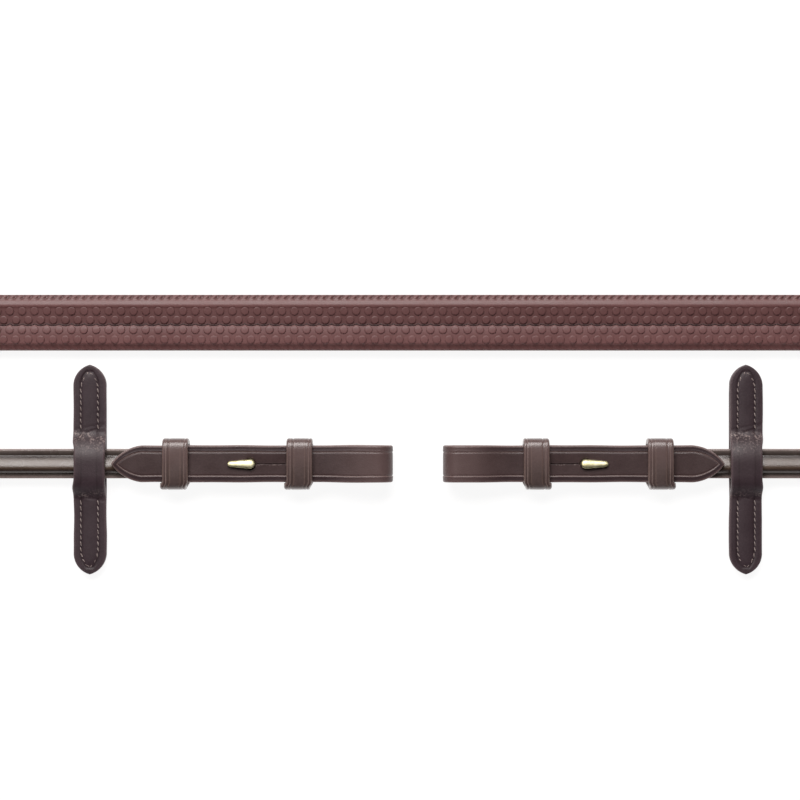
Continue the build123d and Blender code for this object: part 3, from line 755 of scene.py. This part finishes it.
def hook_stud(side, sign):
    """A cast teardrop hook: at each station its outline reaches half(x) to either side, a round
    end and straight sides to a small rounded tip. Its section is a crown, sin(angle)^0.6 high,
    on a shallow keel, tilted a little. Its post and foot are a profile turned round."""
    low, high = span(f"hook_stud_{side}")
    stations, around = 30, 20
    hook_thick, round_end, tip_half, tilt, lift = 1.6, 2.0, 1.15, 0.2, 0.15
    hook_low = high[2] - hook_thick
    t = np.linspace(0, 1, stations)
    x = STUD_AT - round_end + (STUD_TIP + round_end - STUD_AT) * (t**1.5 * 0.35 + 0.65 * ease(t))
    taper = round_end + (tip_half - round_end) * np.clip((x - STUD_AT) / (STUD_TIP - STUD_AT), 0, 1) ** 1.2
    start = np.sqrt(np.maximum(round_end**2 - np.minimum(x - STUD_AT, 0) ** 2, 0))
    end = tip_half * np.sqrt(np.maximum(1 - ((x - STUD_TIP + tip_half).clip(0) / tip_half) ** 2, 0))
    half = np.where(x < STUD_AT, start, np.where(x > STUD_TIP - tip_half, np.minimum(end, taper), taper))
    half = np.maximum(half, 0.03)
    tall = 0.75 + 0.85 * half / round_end
    angle = np.arange(around) * 2 * math.pi / around
    cos, sin = np.cos(angle), np.sin(angle)
    y = half[:, None] * cos
    crown = np.where(sin < 0, 0.2 * sin, 0.78 * np.abs(sin) ** 0.6)
    z = hook_low + tall[:, None] * (crown + 0.22)
    hook = np.stack([sign * x[:, None] + 0 * y, y, z + lift - tilt * y], -1)
    hook_faces = grid_faces(stations, around, False).tolist() + end_caps(stations, around)
    foot, post, below = 2.4, 1.4, low[2]
    profile = np.array([
        (0.02, below), (foot - 0.2, below), (foot, below + 0.2), (foot, below + 0.45),
        (foot - 0.15, below + 0.6), (post, below + 0.65), (post, hook_low + 0.4), (0.02, hook_low + 0.5),
    ])
    radius, level = profile[:, :1], profile[:, 1:]
    spun = np.stack([sign * STUD_AT + radius * cos, radius * sin, level + 0 * cos], -1)
    post_faces = grid_faces(len(profile), around, False).tolist() + end_caps(len(profile), around)
    points, faces = join([(hook, hook_faces), (spun, post_faces)])
    make(f"brass_hook_stud_{side}", place(points), faces, BRASS, "reins", [f"hook_stud_{side}"])


# ------------------------------------------------------------------ rein stops
def row_of_stitches(path, up, pitch, size):
    """Sewn stitches on a line, each a rounded grain size long, wide and high, turned a little
    across the line as a saddle stitch is: an ellipsoid of 6 by 4 faces. Points and faces."""
    along = lengths(path)
    count = max(int(along[-1] / pitch), 1)
    middles = (np.arange(count) + 0.5) * along[-1] / count
    centre = pick(path, along, middles)
    ahead = unit(pick(path, along, middles + 0.2) - pick(path, along, middles - 0.2))
    up = np.broadcast_to(np.asarray(up, dtype=float), centre.shape)
    side = np.cross(up, ahead)
    slant = 0.26
    cos, sin = math.cos(slant), math.sin(slant)
    ahead, side = ahead * cos + side * sin, side * cos - ahead * sin
    ring = np.arange(6) * math.pi / 3
    rise = np.array([-1.0, -0.72, 0.0, 0.72, 1.0])
    girth = np.array([0.12, 0.8, 1.0, 0.8, 0.12])
    local = np.stack([
        rise[:, None] * size[0] / 2 + 0 * ring, girth[:, None] * np.cos(ring) * size[1] / 2,
        girth[:, None] * np.sin(ring) * size[2] / 2], -1).reshape(-1, 3)
    points = (centre[:, None] + ahead[:, None] * local[None, :, :1] + side[:, None] * local[None, :, 1:2]
              + up[:, None] * local[None, :, 2:])
    one = grid_faces(len(rise), len(ring), False).tolist() + end_caps(len(rise), len(ring))
    return [(block, one) for block in points]


def stop_line():
    """The arch of the front leather over the strap: its middle line z(y) is level on both tabs
    and climbs to the bridge from each end as 1 - (1 - t)^2.4, with its corners smoothed."""
    tab, arch, low_lean, high_lean = 3.3, 8.8, 8.0, 12.0
    low_foot, high_foot, power, blur = -13.2, 12.0, 2.4, 9
    y = np.linspace(STOP_BOTTOM, STOP_TOP, 200)
    rise, fall = np.clip((y - low_foot) / low_lean, 0, 1), np.clip((high_foot - y) / high_lean, 0, 1)
    bridge = (1 - (1 - rise) ** power) * (1 - (1 - fall) ** power)
    return y, tab + (arch - tab) * blurred(bridge, blur)


def rein_stop(side, sign):
    """Two leathers sewn together above and below the strap, with gothic ends."""
    x = sign * STOP_AT
    y, z = stop_line()
    wobble = 0.1 * np.sin(y / 4.1 + 2 * sign) + 0.1 * np.sin(y / 9.7)
    swollen = 0.35 * swell(y, 24, 9)
    bridge_shift, bridge_pinch, row_inset, back_mid = 0.5, 0.35, 3.4, 1.3
    bridge = ease((11 - np.abs(y)) / 5)
    sway = 0.3 * swell(y, -30, 15) + bridge_shift * bridge

    def outline(at_y, half):
        nearer = np.minimum(at_y - STOP_BOTTOM, STOP_TOP - at_y)
        return np.minimum(half, pointed(nearer, STOP_HALF, STOP_POINT))

    centre = np.stack([x + 0.5 * swollen - sign * sway, y, z], 1)
    ahead = unit(np.gradient(centre * [0, 1, 1], axis=0))
    up = np.stack([0 * y, -ahead[:, 2], ahead[:, 1]], 1)
    s_mid = lengths(centre)

    def top(s, w, d):
        at_y = np.interp(s, s_mid, y)
        tab = ease((np.abs(at_y + 1) - 12) / 3)
        side = np.minimum(d, np.minimum(at_y - STOP_BOTTOM, STOP_TOP - at_y) + 0.3)
        channel = -0.35 * tab * swell(side, row_inset, 0.5)
        folds = -0.14 * swell(at_y - 0.45 * w, 13.6, 0.6) - 0.1 * swell(at_y - 0.2 * w, 15.9, 0.5)
        folds = folds - 0.14 * swell(at_y + 0.25 * w, -14.6, 0.5)
        pillow = 0.3 * tab * ease((side - row_inset) / 3) + 0.25 * (1 - tab) * ease(d / 5)
        return STOP_LEATHER / 2 - rounded(d, 0.8) + channel + folds + pillow

    def low(s, w, d):
        return -STOP_LEATHER / 2 + rounded(d, 0.3)

    def scuff_and_highlight(s, w, d):
        at_y = np.interp(s, s_mid, y)
        upper = 0.9 * swell(at_y + 0.1 * w, 11.0, 2.2) + 0.35 * swell(at_y, 6.5, 2.0)
        return upper + 0.5 * swell(at_y, -12.5, 1.6)

    def pull_and_highlight(s, w, d):
        at_y = np.interp(s, s_mid, y)
        return 0.06 * ease((at_y + 7) / 15) * ease((15 - at_y) / 7)

    channel_rows = (row_inset + np.array([-0.5, -0.2, 0.0, 0.2, 0.5])) / STOP_HALF
    tops = across(34, np.concatenate([1 - channel_rows, channel_rows - 1]))
    front_half = outline(y, STOP_HALF + wobble + swollen - bridge_pinch * bridge)
    strap(
        f"stop_front_leather_{side}", place(centre), X_WAY, up, front_half,
        top, low, STOP_LEATHER_SKIN, f"stop_{side}", [f"stop_front_{side}"],
        tops=tops, marks={"scuff_and_highlight": scuff_and_highlight, "pull_and_highlight": pull_and_highlight},
    )

    back = np.stack([x + 0 * y, y, 0 * y + back_mid], 1)

    def back_top(s, w, d):
        return STOP_LEATHER / 2 - 0.05 - rounded(d, 0.3)

    def back_low(s, w, d):
        return -STOP_LEATHER / 2 + rounded(d, 0.8)

    strap(
        f"stop_back_leather_{side}", place(back), X_WAY, Z_WAY,
        outline(y, STOP_HALF + wobble), back_top, back_low, STOP_LEATHER_SKIN, f"stop_{side}",
        [f"stop_back_{side}"],
    )

    shells = []
    tip_inset, row_half, front_height, back_height, pitch = 3.1, STOP_HALF - row_inset, 4.15, 0.17, 2.5
    for tip, way, foot in ((STOP_TOP, 1, 14.5), (STOP_BOTTOM, -1, -15.5)):
        t = np.linspace(0, way * (tip - foot) - tip_inset, 60)
        half = pointed(t, row_half, 8.0)
        row_y = tip - way * (tip_inset + t)
        for face, height in ((1, front_height), (-1, back_height)):
            leg = [np.stack([x + edge * half, row_y, 0 * t + height], 1) for edge in (-1, 1)]
            path = np.concatenate([leg[0][::-1], leg[1][1:]])
            shells += row_of_stitches(path, (0, 0, face), pitch, (2.0, 0.5, 0.5 if face > 0 else 0.3))
    points, faces = join(shells)
    make(f"stop_stitches_{side}", place(points), faces, STOP_THREAD, f"stop_{side}",
         [f"stop_stitching_{side}"])


def splice_stitches(side, sign):
    """Two rows of stitches under the splice, from the billet leather into the front strap."""
    shells = []
    for y in (-3.3, 3.3):
        x = sign * np.linspace(SPLICE + 1.4, SPLICE + 25.6, 40)
        path = np.stack([x, 0 * x + y, 0 * x + STRAP_LOW - 0.15], 1)
        shells += row_of_stitches(path, (0, 0, -1), 2.5, (1.9, 0.5, 0.3))
    points, faces = join(shells)
    make(f"splice_stitches_{side}", place(points), faces, DARK_THREAD, "reins",
         [f"splice_stitching_{side}"])


# ------------------------------------------------------------------ front straps and grips
def turned(line, sign):
    """How far a strap has turned on edge: 0 up to out = TURN_START, 1 from TURN_LENGTH further on."""
    out = sign * (line[:, 0] - MIDDLE[0]) / MM
    return ease((out - TURN_START) / TURN_LENGTH)


def front_strap(side, sign):
    """The raised front strap from its splice to the grip: flanges that dip beside a ridge whose
    section rises in a long slope, 1 - t^1.55, and falls in a short one, (1 - t^2)^0.8, on a
    flat underside."""
    line = smooth_line(route(side, FRONT_WIDTH / 2))
    line = pick(line, lengths(line), np.arange(0, FRONT_LENGTH + 0.1, 1.0) * MM)
    wide, up = strap_frame(line, turned(line, sign), sign)
    ridge_at, crest, groove = -0.4, -1.9, 0.1

    def top(s, w, d):
        from_ridge = np.abs(w - ridge_at)
        reach = np.where(w > crest, ridge_at + DOME_HALF - crest, crest - ridge_at + DOME_HALF)
        near = np.clip(np.abs(w - crest) / reach, 0, 1)
        share = np.where(w > crest, 1 - near**1.55, (1 - near**2) ** 0.8)
        dip = groove * (1 - np.clip((from_ridge - DOME_HALF) / 2.2, 0, 1))
        raised = (DOME_RISE + groove) * share - dip
        return FLANGE / 2 + raised * ease((SPLICE + s - 121) / 12) - rounded(d, 0.7)

    def low(s, w, d):
        skived = (s < 27.5) & (np.abs(w) < 5.15)
        return -FLANGE / 2 + rounded(d, 0.4) + np.where(skived, 1.5, 0)

    ridge_edge = np.array([-4.5, -4.25, -4.0, 3.2, 3.45, 3.7]) / (FRONT_WIDTH / 2)
    skive = np.array([-5.25, -5.1, 5.1, 5.25]) / (FRONT_WIDTH / 2)
    piece = strap(
        f"front_strap_leather_{side}", line, wide, up, FRONT_WIDTH / 2, top, low, RAISED_LEATHER,
        "reins", [f"front_strap_{side}", f"front_run_{side}", f"roll_{side}"],
        tops=across(40, ridge_edge), lows=across(12, skive),
    )


BUMP_PITCH, BUMP_RADIUS, BUMP_HIGH, RIB_PITCH = 5.32, 1.78, 0.5, 3.34
BUMP_ROWS = ((4.9, 0.0), (1.1, 0.5), (-3.1, 0.0), (-7.3, 0.5))
UNDER_LIFT = 0.2
GRIP_HEIGHTS = (
    (-12.0, -1.0), (-10.8, -1.0), (-9.7, -0.75), (-8.9, -0.1), (-5.0, 0.1), (-2.6, -0.05), (-0.9, -0.3),
)
UPPER_HEIGHTS = (
    (-2.1, -1.05), (0.0, -0.95), (3.3, -0.65), (6.3, -0.4), (6.9, -0.05), (7.6, 0.05), (9.0, -0.3),
    (9.9, -0.75), (12.0, -1.0),
)


def from_bump(s, phase):
    """Distance along the grip to the nearest bump of a row with this phase, in pitches."""
    return ((s - phase * BUMP_PITCH) / BUMP_PITCH + 0.5) % 1 - 0.5


def seam_line(s, origin):
    """Where the seam runs across the grip: arcs that follow the second row's bumps, with a cusp
    between each two."""
    t = from_bump(s - origin, 0.5) * BUMP_PITCH
    return -0.45 - 1.1 * np.sqrt(np.maximum(1 - (t / 2.75) ** 2, 0))


def rib_mark(s, d, origin):
    """How deep in a notch between two ribs a point lies, 0 to 1, on lines that slant to the edge."""
    return swell(((s - 0.8 * d - origin) / RIB_PITCH) % 1 - 0.5, 0, 0.16)


def grip_face(s, w, d, origin):
    """Height of the grip's face: a border ridge, an upper half that sinks to the seam and a
    lower half that stands over it, with ribs moulded across both edges."""
    seam = seam_line(s, origin)
    lower = np.interp(w, *zip(*GRIP_HEIGHTS))
    upper = np.interp(w, *zip(*UPPER_HEIGHTS))
    share = ease((w - seam + 0.1) / 0.2)
    notch = rib_mark(s, d, origin) * ease(d / 0.25) * ease((2.2 - d) / 0.6)
    depth = np.where(w > 0, 1.0, 0.5)
    return GRIP_THICK / 2 + lower + (upper - lower) * share - depth * notch - rounded(d, 1.3)


def grip(side, sign):
    """The rubber grip on its strap, wound in the roll, with bumps moulded in rows on both faces.
    The rows start so that one bump of the right grip lies at x = one_bump_x."""
    row_step, one_bump_x = 0.56, 63.9
    line = smooth_line(route(side, GRIP_WIDTH / 2))
    along = lengths(line)
    start = FRONT_LENGTH * MM
    rows = int((along[-1] - start) / (row_step * MM))
    line = pick(line, along, np.linspace(start, along[-1], rows))
    wide, up = strap_frame(line, turned(line, sign), -sign)
    along = lengths(line) / MM
    origin = (along[-1] - (one_bump_x - GRIP_END)) % BUMP_PITCH if side == "right" else 0.0
    half = GRIP_WIDTH / 2

    def top(s, w, d):
        return grip_face(s, w, d, origin)

    def low(s, w, d):
        return -grip_face(s, w, d, origin) + UNDER_LIFT

    def shift(s, w):
        return (seam_line(s, origin) + 1.2) * swell(w, -1.2, 1.2)

    # Painted shade, 0 to 1: dark in the seam's trench, over the upper half, on a band above the lower edge
    # and in the rib notches, less on the border and the very lower edge.
    def painted_shade(s, w, d):
        seam = seam_line(s, origin)
        trench = ease((w - seam) / 0.1) * ease((seam + 0.7 - w) / 0.6)
        upper_shade = 0.45 * ease((w - seam) / 0.2) * ease((6.8 - w) / 0.3)
        edge = 0.7 * ease((-9.1 - w) / 0.7) - 0.5 * ease((-10.5 - w) / 0.5)
        rim = -0.4 * ease((w - 6.6) / 0.5) * ease((9.6 - w) / 0.6)
        mark = rib_mark(s, d, origin) * ease((2.2 - d) / 0.4) * (w > 0)
        return np.clip(trench + upper_shade + edge + mark, 0, 1) + rim

    wall = np.array([-1.6, -1.45, -1.35, -1.3, -1.25, -1.2, -1.15, -1.1, -1.05, -0.95, -0.8]) / half
    creases = np.array([-9.7, -9.3, -8.9, 6.3, 6.6, 6.9, 7.3, 8.0, 9.0, 9.6, 9.9, 10.4]) / half
    piece = strap(
        f"rubber_grip_{side}", line, wide, up, half, top, low, GRIP_RUBBER, "reins",
        [f"grip_{side}", f"roll_{side}"] + ([f"grip_run_{side}"] if side == "right" else []),
        tops=across(30, np.concatenate([wall, creases])), lows=across(10), shift=shift,
        marks={"painted_shade": painted_shade},
    )

    grip_bumps(side, line, wide, up, origin)
    return line, wide, up, origin


def grip_bumps(side, line, wide, up, origin):
    """Rows of low discs on both faces of a grip, which follow the face under them."""
    along = lengths(line) / MM
    turn = np.arange(12) * math.pi / 6
    ring_radius = np.array([BUMP_RADIUS + 0.1, BUMP_RADIUS, BUMP_RADIUS - 0.15, BUMP_RADIUS - 0.5, 0.02])
    ring_height = np.array([-0.35, BUMP_HIGH * 0.6, BUMP_HIGH * 0.92, BUMP_HIGH, BUMP_HIGH])
    rings, per_ring = len(ring_radius), len(turn)
    per_bump = rings * per_ring
    grid, ends = grid_faces(rings, per_ring, False), np.array(end_caps(rings, per_ring))
    points, marks, faces, base = [], [], [], 0
    for face, lift in ((1, 0.0), (-1, UNDER_LIFT)):
        for row_y, phase in BUMP_ROWS:
            first = (origin + phase * BUMP_PITCH) % BUMP_PITCH + BUMP_PITCH
            places = np.arange(first, along[-1] - BUMP_PITCH, BUMP_PITCH)
            s = places[:, None, None] + ring_radius[:, None] * np.cos(turn)
            w = row_y + ring_radius[:, None] * np.sin(turn) + 0 * s
            under = np.interp(w, *zip(*(UPPER_HEIGHTS if row_y > 0 else GRIP_HEIGHTS)))
            h = face * (GRIP_THICK / 2 + under + ring_height[:, None]) + lift
            flat_s = s.reshape(-1)
            over = pick(wide, along, flat_s) * w.reshape(-1, 1) + pick(up, along, flat_s) * h.reshape(-1, 1)
            points.append(pick(line, along, flat_s) + over * MM)
            # The upper rows take the painted shade of the upper half.
            marks.append(np.full(len(flat_s), 0.4 if row_y > 0 else 0.0))
            starts = np.arange(len(places))[:, None, None] * per_bump + base
            faces += (grid + starts).reshape(-1, 4).tolist()
            for end in ends:
                faces += (end + starts[:, 0]).tolist()
            base += len(places) * per_bump
    make(f"grip_bumps_{side}", np.concatenate(points), faces, GRIP_RUBBER, "reins", [],
         marks={"painted_shade": np.concatenate(marks)})


def seam_thread(line, wide, up, origin):
    """The thread that closes the rubber, lying in the seam's trench."""
    along = lengths(line) / MM
    flat_start = along[-1] - (TURN_START - GRIP_END) + 1.5
    s = np.arange(flat_start, along[-1] - 1.5, 0.5)
    w = seam_line(s, origin) + 0.4
    h = GRIP_THICK / 2 - 0.85
    path = pick(line, along, s) + (pick(wide, along, s) * w[:, None] + pick(up, along, s) * h) * MM
    points, faces = tube(path, 0.2, sides=6)
    make("seam_thread", points, faces, DARK_THREAD, "reins", ["grip_seam_thread"])


# ------------------------------------------------------------------ hand straps and the buckle
def plain_strap(name, line, wide, up, half, thick, replaced, holes=()):
    """A flat strap with rounded edges, creases beside them and round holes punched part way:
    height = thick / 2 less a rounded edge, a groove and a well at each hole."""
    along = lengths(line) / MM
    levels = np.broadcast_to(np.asarray(thick, dtype=float) / 2, (len(line),))
    hole_radius, hole_depth = 1.6, 1.6

    def top(s, w, d):
        h = np.interp(s, along, levels) - rounded(d, 0.6) - 0.18 * swell(d, 2.3, 0.28)
        for hole in holes:
            h = h - hole_depth * ease((hole_radius - np.hypot(s - hole, w)) / 0.35)
        return h

    def low(s, w, d):
        return -np.interp(s, along, levels) + rounded(d, 0.35)

    fine = np.array([-1.6, -1.4, -1.2, 1.2, 1.4, 1.6, -5.95, -5.7, -5.45, 5.45, 5.7, 5.95]) / CORE_HALF
    return strap(name, line, wide, up, half, top, low, BILLET_LEATHER, "reins",
                 replaced, tops=across(30, fine))


def hand_strap_right():
    """Out of the grip, over the buckle's bar and down on to the other strap: z(x) steps up to
    the bar and down again behind it."""
    tail_end = span("hand_strap_right")[0][0]
    x = np.arange(GRIP_END + 12, tail_end, -0.6)
    x = np.append(x, tail_end)
    crest, tail, hole_pitch = 11.05, 8.05, 13
    z = CORE_MID + (crest - CORE_MID) * ease((BAR_X + 14.5 - x) / 12.5)
    z = z + (tail - crest) * ease((BAR_X - 3 - x) / 9.4)
    flat = np.stack([x, BAND_Y + 0 * x, z], 1)
    ahead = unit(np.gradient(flat, axis=0))
    up = np.stack([ahead[:, 2], 0 * x, -ahead[:, 0]], 1)
    half = np.minimum(CORE_HALF - 0.1, pointed(x - tail_end, CORE_HALF, 10.0))
    s = lengths(flat)
    holes = [float(np.interp(-(BAR_X + step * hole_pitch), -x, s)) for step in (-3, -2, -1, 2, 3)]
    plain_strap("hand_strap_leather_right", place(flat), Y_WAY, up,
                half, CORE_THICK, ["hand_strap_right"], holes)


def hand_strap_left():
    """From the left grip, down flat, round the buckle's bar and back over itself."""
    turn_start, turn_length, chape = -294.0, 44.0, 2.0
    route_points = [
        (HAND_END, BAND_Y, 8.0), (-346, BAND_Y, 8.0), (-334, BAND_Y, 8.4), (-322, BAND_Y, 8.2),
        (-310, BAND_Y, 5.4), (-296, BAND_Y, CORE_MID), (-284, BAND_Y, CORE_MID),
        (-268, BAND_Y, CORE_MID), (BAR_X - 2, BAND_Y, CORE_MID),
    ]
    first = (smooth_line(route_points) - MIDDLE) / MM
    first = pick(first, lengths(first), np.arange(0, lengths(first)[-1], 0.6))
    mid_radius = BAR_RADIUS + 0.1 + chape / 2
    angle = np.arange(-84, 91, 7) * math.pi / 180
    fold = np.stack([BAR_X + mid_radius * np.cos(angle), BAND_Y + 0 * angle,
                     BAR_Z + mid_radius * np.sin(angle)], 1)
    x = np.arange(BAR_X - 0.8, BAR_X - 36, -0.6)
    z = BAR_Z + mid_radius + (4.65 + chape / 2 - BAR_Z - mid_radius) * ease((BAR_X - 1.5 - x) / 10.5)
    back = np.stack([x, BAND_Y + 0 * x, z], 1)
    flat = np.concatenate([first, fold, back])
    ahead = unit(np.gradient(flat, axis=0))
    share = ease((turn_start - first[:, 0]) / turn_length)
    share = np.concatenate([share, np.zeros(len(fold) + len(back))])
    turning = math.pi / 2 * share[:, None]
    outward = np.stack([ahead[:, 2], 0 * share, -ahead[:, 0]], 1)
    wide = Y_WAY * np.cos(turning) - Z_WAY * np.sin(turning)
    up = outward * np.cos(turning) - Y_WAY * np.sin(turning)
    half = np.full(len(flat), CORE_HALF - 0.1)
    from_end = lengths(flat)[-1] - lengths(flat)
    half = np.minimum(half, np.sqrt(np.clip(from_end, 0, 3) / 3) * 3 + CORE_HALF - 3.1)
    thick = CORE_THICK + (chape - CORE_THICK) * ease((flat[:, 0] - BAR_X + 8) / 6)
    thick[len(first):] = chape
    piece = plain_strap("hand_strap_leather_left", place(flat), wide, up, half, thick, ["hand_strap_left"])
    path = place(np.concatenate([first, fold[:3]]))
    float(lengths(path)[-1])


def buckle():
    """A round-cornered brass frame and bar, and a tongue whose eye turns on the bar."""
    corner, half_y, nose, frame_radius, around = 3.2, 9.7, 16.0, 1.38, 120
    angle = np.arange(0, 91, 15) * math.pi / 180
    outline = []
    for sx, sy, turn in ((1, 1, 0), (-1, 1, 90), (-1, -1, 180), (1, -1, 270)):
        centre = np.array([BAR_X + nose / 2 + sx * (nose / 2 - corner), BAND_Y + sy * (half_y - corner)])
        bend = angle + math.radians(turn)
        outline.append(centre + corner * np.stack([np.cos(bend), np.sin(bend)], 1))
    outline = np.concatenate(outline)
    closed = np.concatenate([outline, outline[:1]])
    outline = pick(closed, lengths(closed), np.linspace(0, lengths(closed)[-1], around + 1)[:-1])
    ring = np.concatenate([outline, np.full((around, 1), BAR_Z)], 1)
    bar_end = 9.4
    bar_y = np.linspace(-bar_end, bar_end, 9)
    bar = np.stack([BAR_X + 0 * bar_y, BAND_Y + bar_y, BAR_Z + 0 * bar_y], 1)
    frame = tube(place(ring), frame_radius, 16, ring=True)
    points, faces = join([frame, tube(place(bar), BAR_RADIUS - 0.05, 16)])
    make("brass_buckle_frame", points, faces, BRASS, "buckle", ["buckle_frame"])

    eye_ring, eye_radius, eye_stretch, shank_start, shank_length = 1.87, 0.42, 2.4, 1.2, 16.2
    t = np.arange(24) * 2 * math.pi / 24
    eye = np.stack([BAR_X + eye_ring * np.cos(t), BAND_Y + 0 * t, BAR_Z + eye_ring * np.sin(t)], 1)
    reach = np.linspace(0, 1, 24)
    shank = np.stack([BAR_X + shank_start + shank_length * reach, BAND_Y + 0 * reach,
                      BAR_Z + 1.85 + 0.6 * reach - 0.35 * ease((reach - 0.9) / 0.1)], 1)
    radii = (0.92 - 0.2 * reach) * np.sqrt(np.clip((1.02 - reach) / 0.08, 0.05, 1))
    eye_points, eye_faces = tube(place(eye), eye_radius, 8, ring=True)
    middle = place((BAR_X, BAND_Y, BAR_Z))
    eye_points = middle + (eye_points - middle) * [1, eye_stretch, 1]
    points, faces = join([(eye_points, eye_faces), tube(place(shank), radii, 12)])
    make("brass_buckle_tongue", points, faces, BRASS, "tongue", ["buckle_tongue"])


# ------------------------------------------------------------------ table, room and light
def stage():
    """A white table, lit evenly by soft boxes from above and a pale room."""
    half, below = 3.0, -0.4 * MM
    corners_xy = ((-half, -half), (half, -half), (half, half), (-half, half))
    mesh = bpy.data.meshes.new("table")
    mesh.from_pydata([(x, y, below) for x, y in corners_xy], [], [(0, 1, 2, 3)])
    table = bpy.data.objects.new("table", mesh)
    bpy.context.scene.collection.objects.link(table)
    material, tree = new_material("matt_white_table")
    surface(tree, {
        "Base Color": (0.2, 0.2, 0.2, 1), "Roughness": 0.9, "Specular IOR Level": 0.0,
        "Emission Color": (1, 1, 1, 1), "Emission Strength": 0.9,
    })
    mesh.materials.append(material)
    world = bpy.data.worlds.new("room")
    world.use_nodes = True
    tree = world.node_tree
    direction = add(tree, "TexCoord").outputs["Generated"]
    height = add(tree, "SeparateXYZ", {"Vector": direction}).outputs["Z"]
    at_horizon, overhead = 1.4, 0.12
    strength = remap(tree, height, 0.0, 0.7, at_horizon, overhead)
    tree.links.new(strength, tree.nodes["Background"].inputs["Strength"])
    bpy.context.scene.world = world
    bpy.context.scene.view_settings.view_transform = "Standard"
    add_light("key", (-220, 900, 1040), (0, 20, 0), (1.5, 0.7), 26, (1, 0.955, 0.94))
    fill = add_light("fill", (100, -1300, 350), (0, 0, 0), (1.6, 0.5), 9, (1, 1, 1))
    fill.visible_glossy = False


# ------------------------------------------------------------------ put together
add_camera()
for side, sign in SIDES:
    billet(side, sign)
    for kind, middle, body in zip(("fixed", "runner"), KEEPER_PLACES, ("reins", f"runner_{side}")):
        low, high = span(f"keeper_{kind}_{side}")
        loop_keeper(f"keeper_{kind}_leather_{side}", sign * middle, sign * KEEPER_LEAN, low[2] + 0.02,
                    high[2] - 0.1, (high[1] - low[1]) / 2 + 0.2, KEEPER_Y, KEEPER_WIDTH, KEEPER_THICK,
                    body, f"keeper_{kind}_{side}")
    hook_stud(side, sign)
    rein_stop(side, sign)
    splice_stitches(side, sign)
    front_strap(side, sign)
    grip_line = grip(side, sign)
seam_thread(*grip_line)
hand_strap_right()
hand_strap_left()
buckle()
for kind, behind, body in zip(("fixed", "runner"), SMALL_KEEPER_PLACES, ("reins", "buckle_runner")):
    low, high = span(f"buckle_keeper_{kind}")
    loop_keeper(f"small_keeper_{kind}_leather", BAR_X - behind, 0.0, low[2] + 0.02, high[2] - 0.05,
                (high[1] - low[1]) / 2, BAND_Y, SMALL_KEEPER_WIDTH, SMALL_KEEPER_THICK, body,
                f"buckle_keeper_{kind}")
for side, sign in SIDES:
    washer = frame["nodes"][f"stud_washer_{side}"]
    washer.data.materials.clear()
    washer.data.materials.append(KEEPER_LEATHER)
stage()
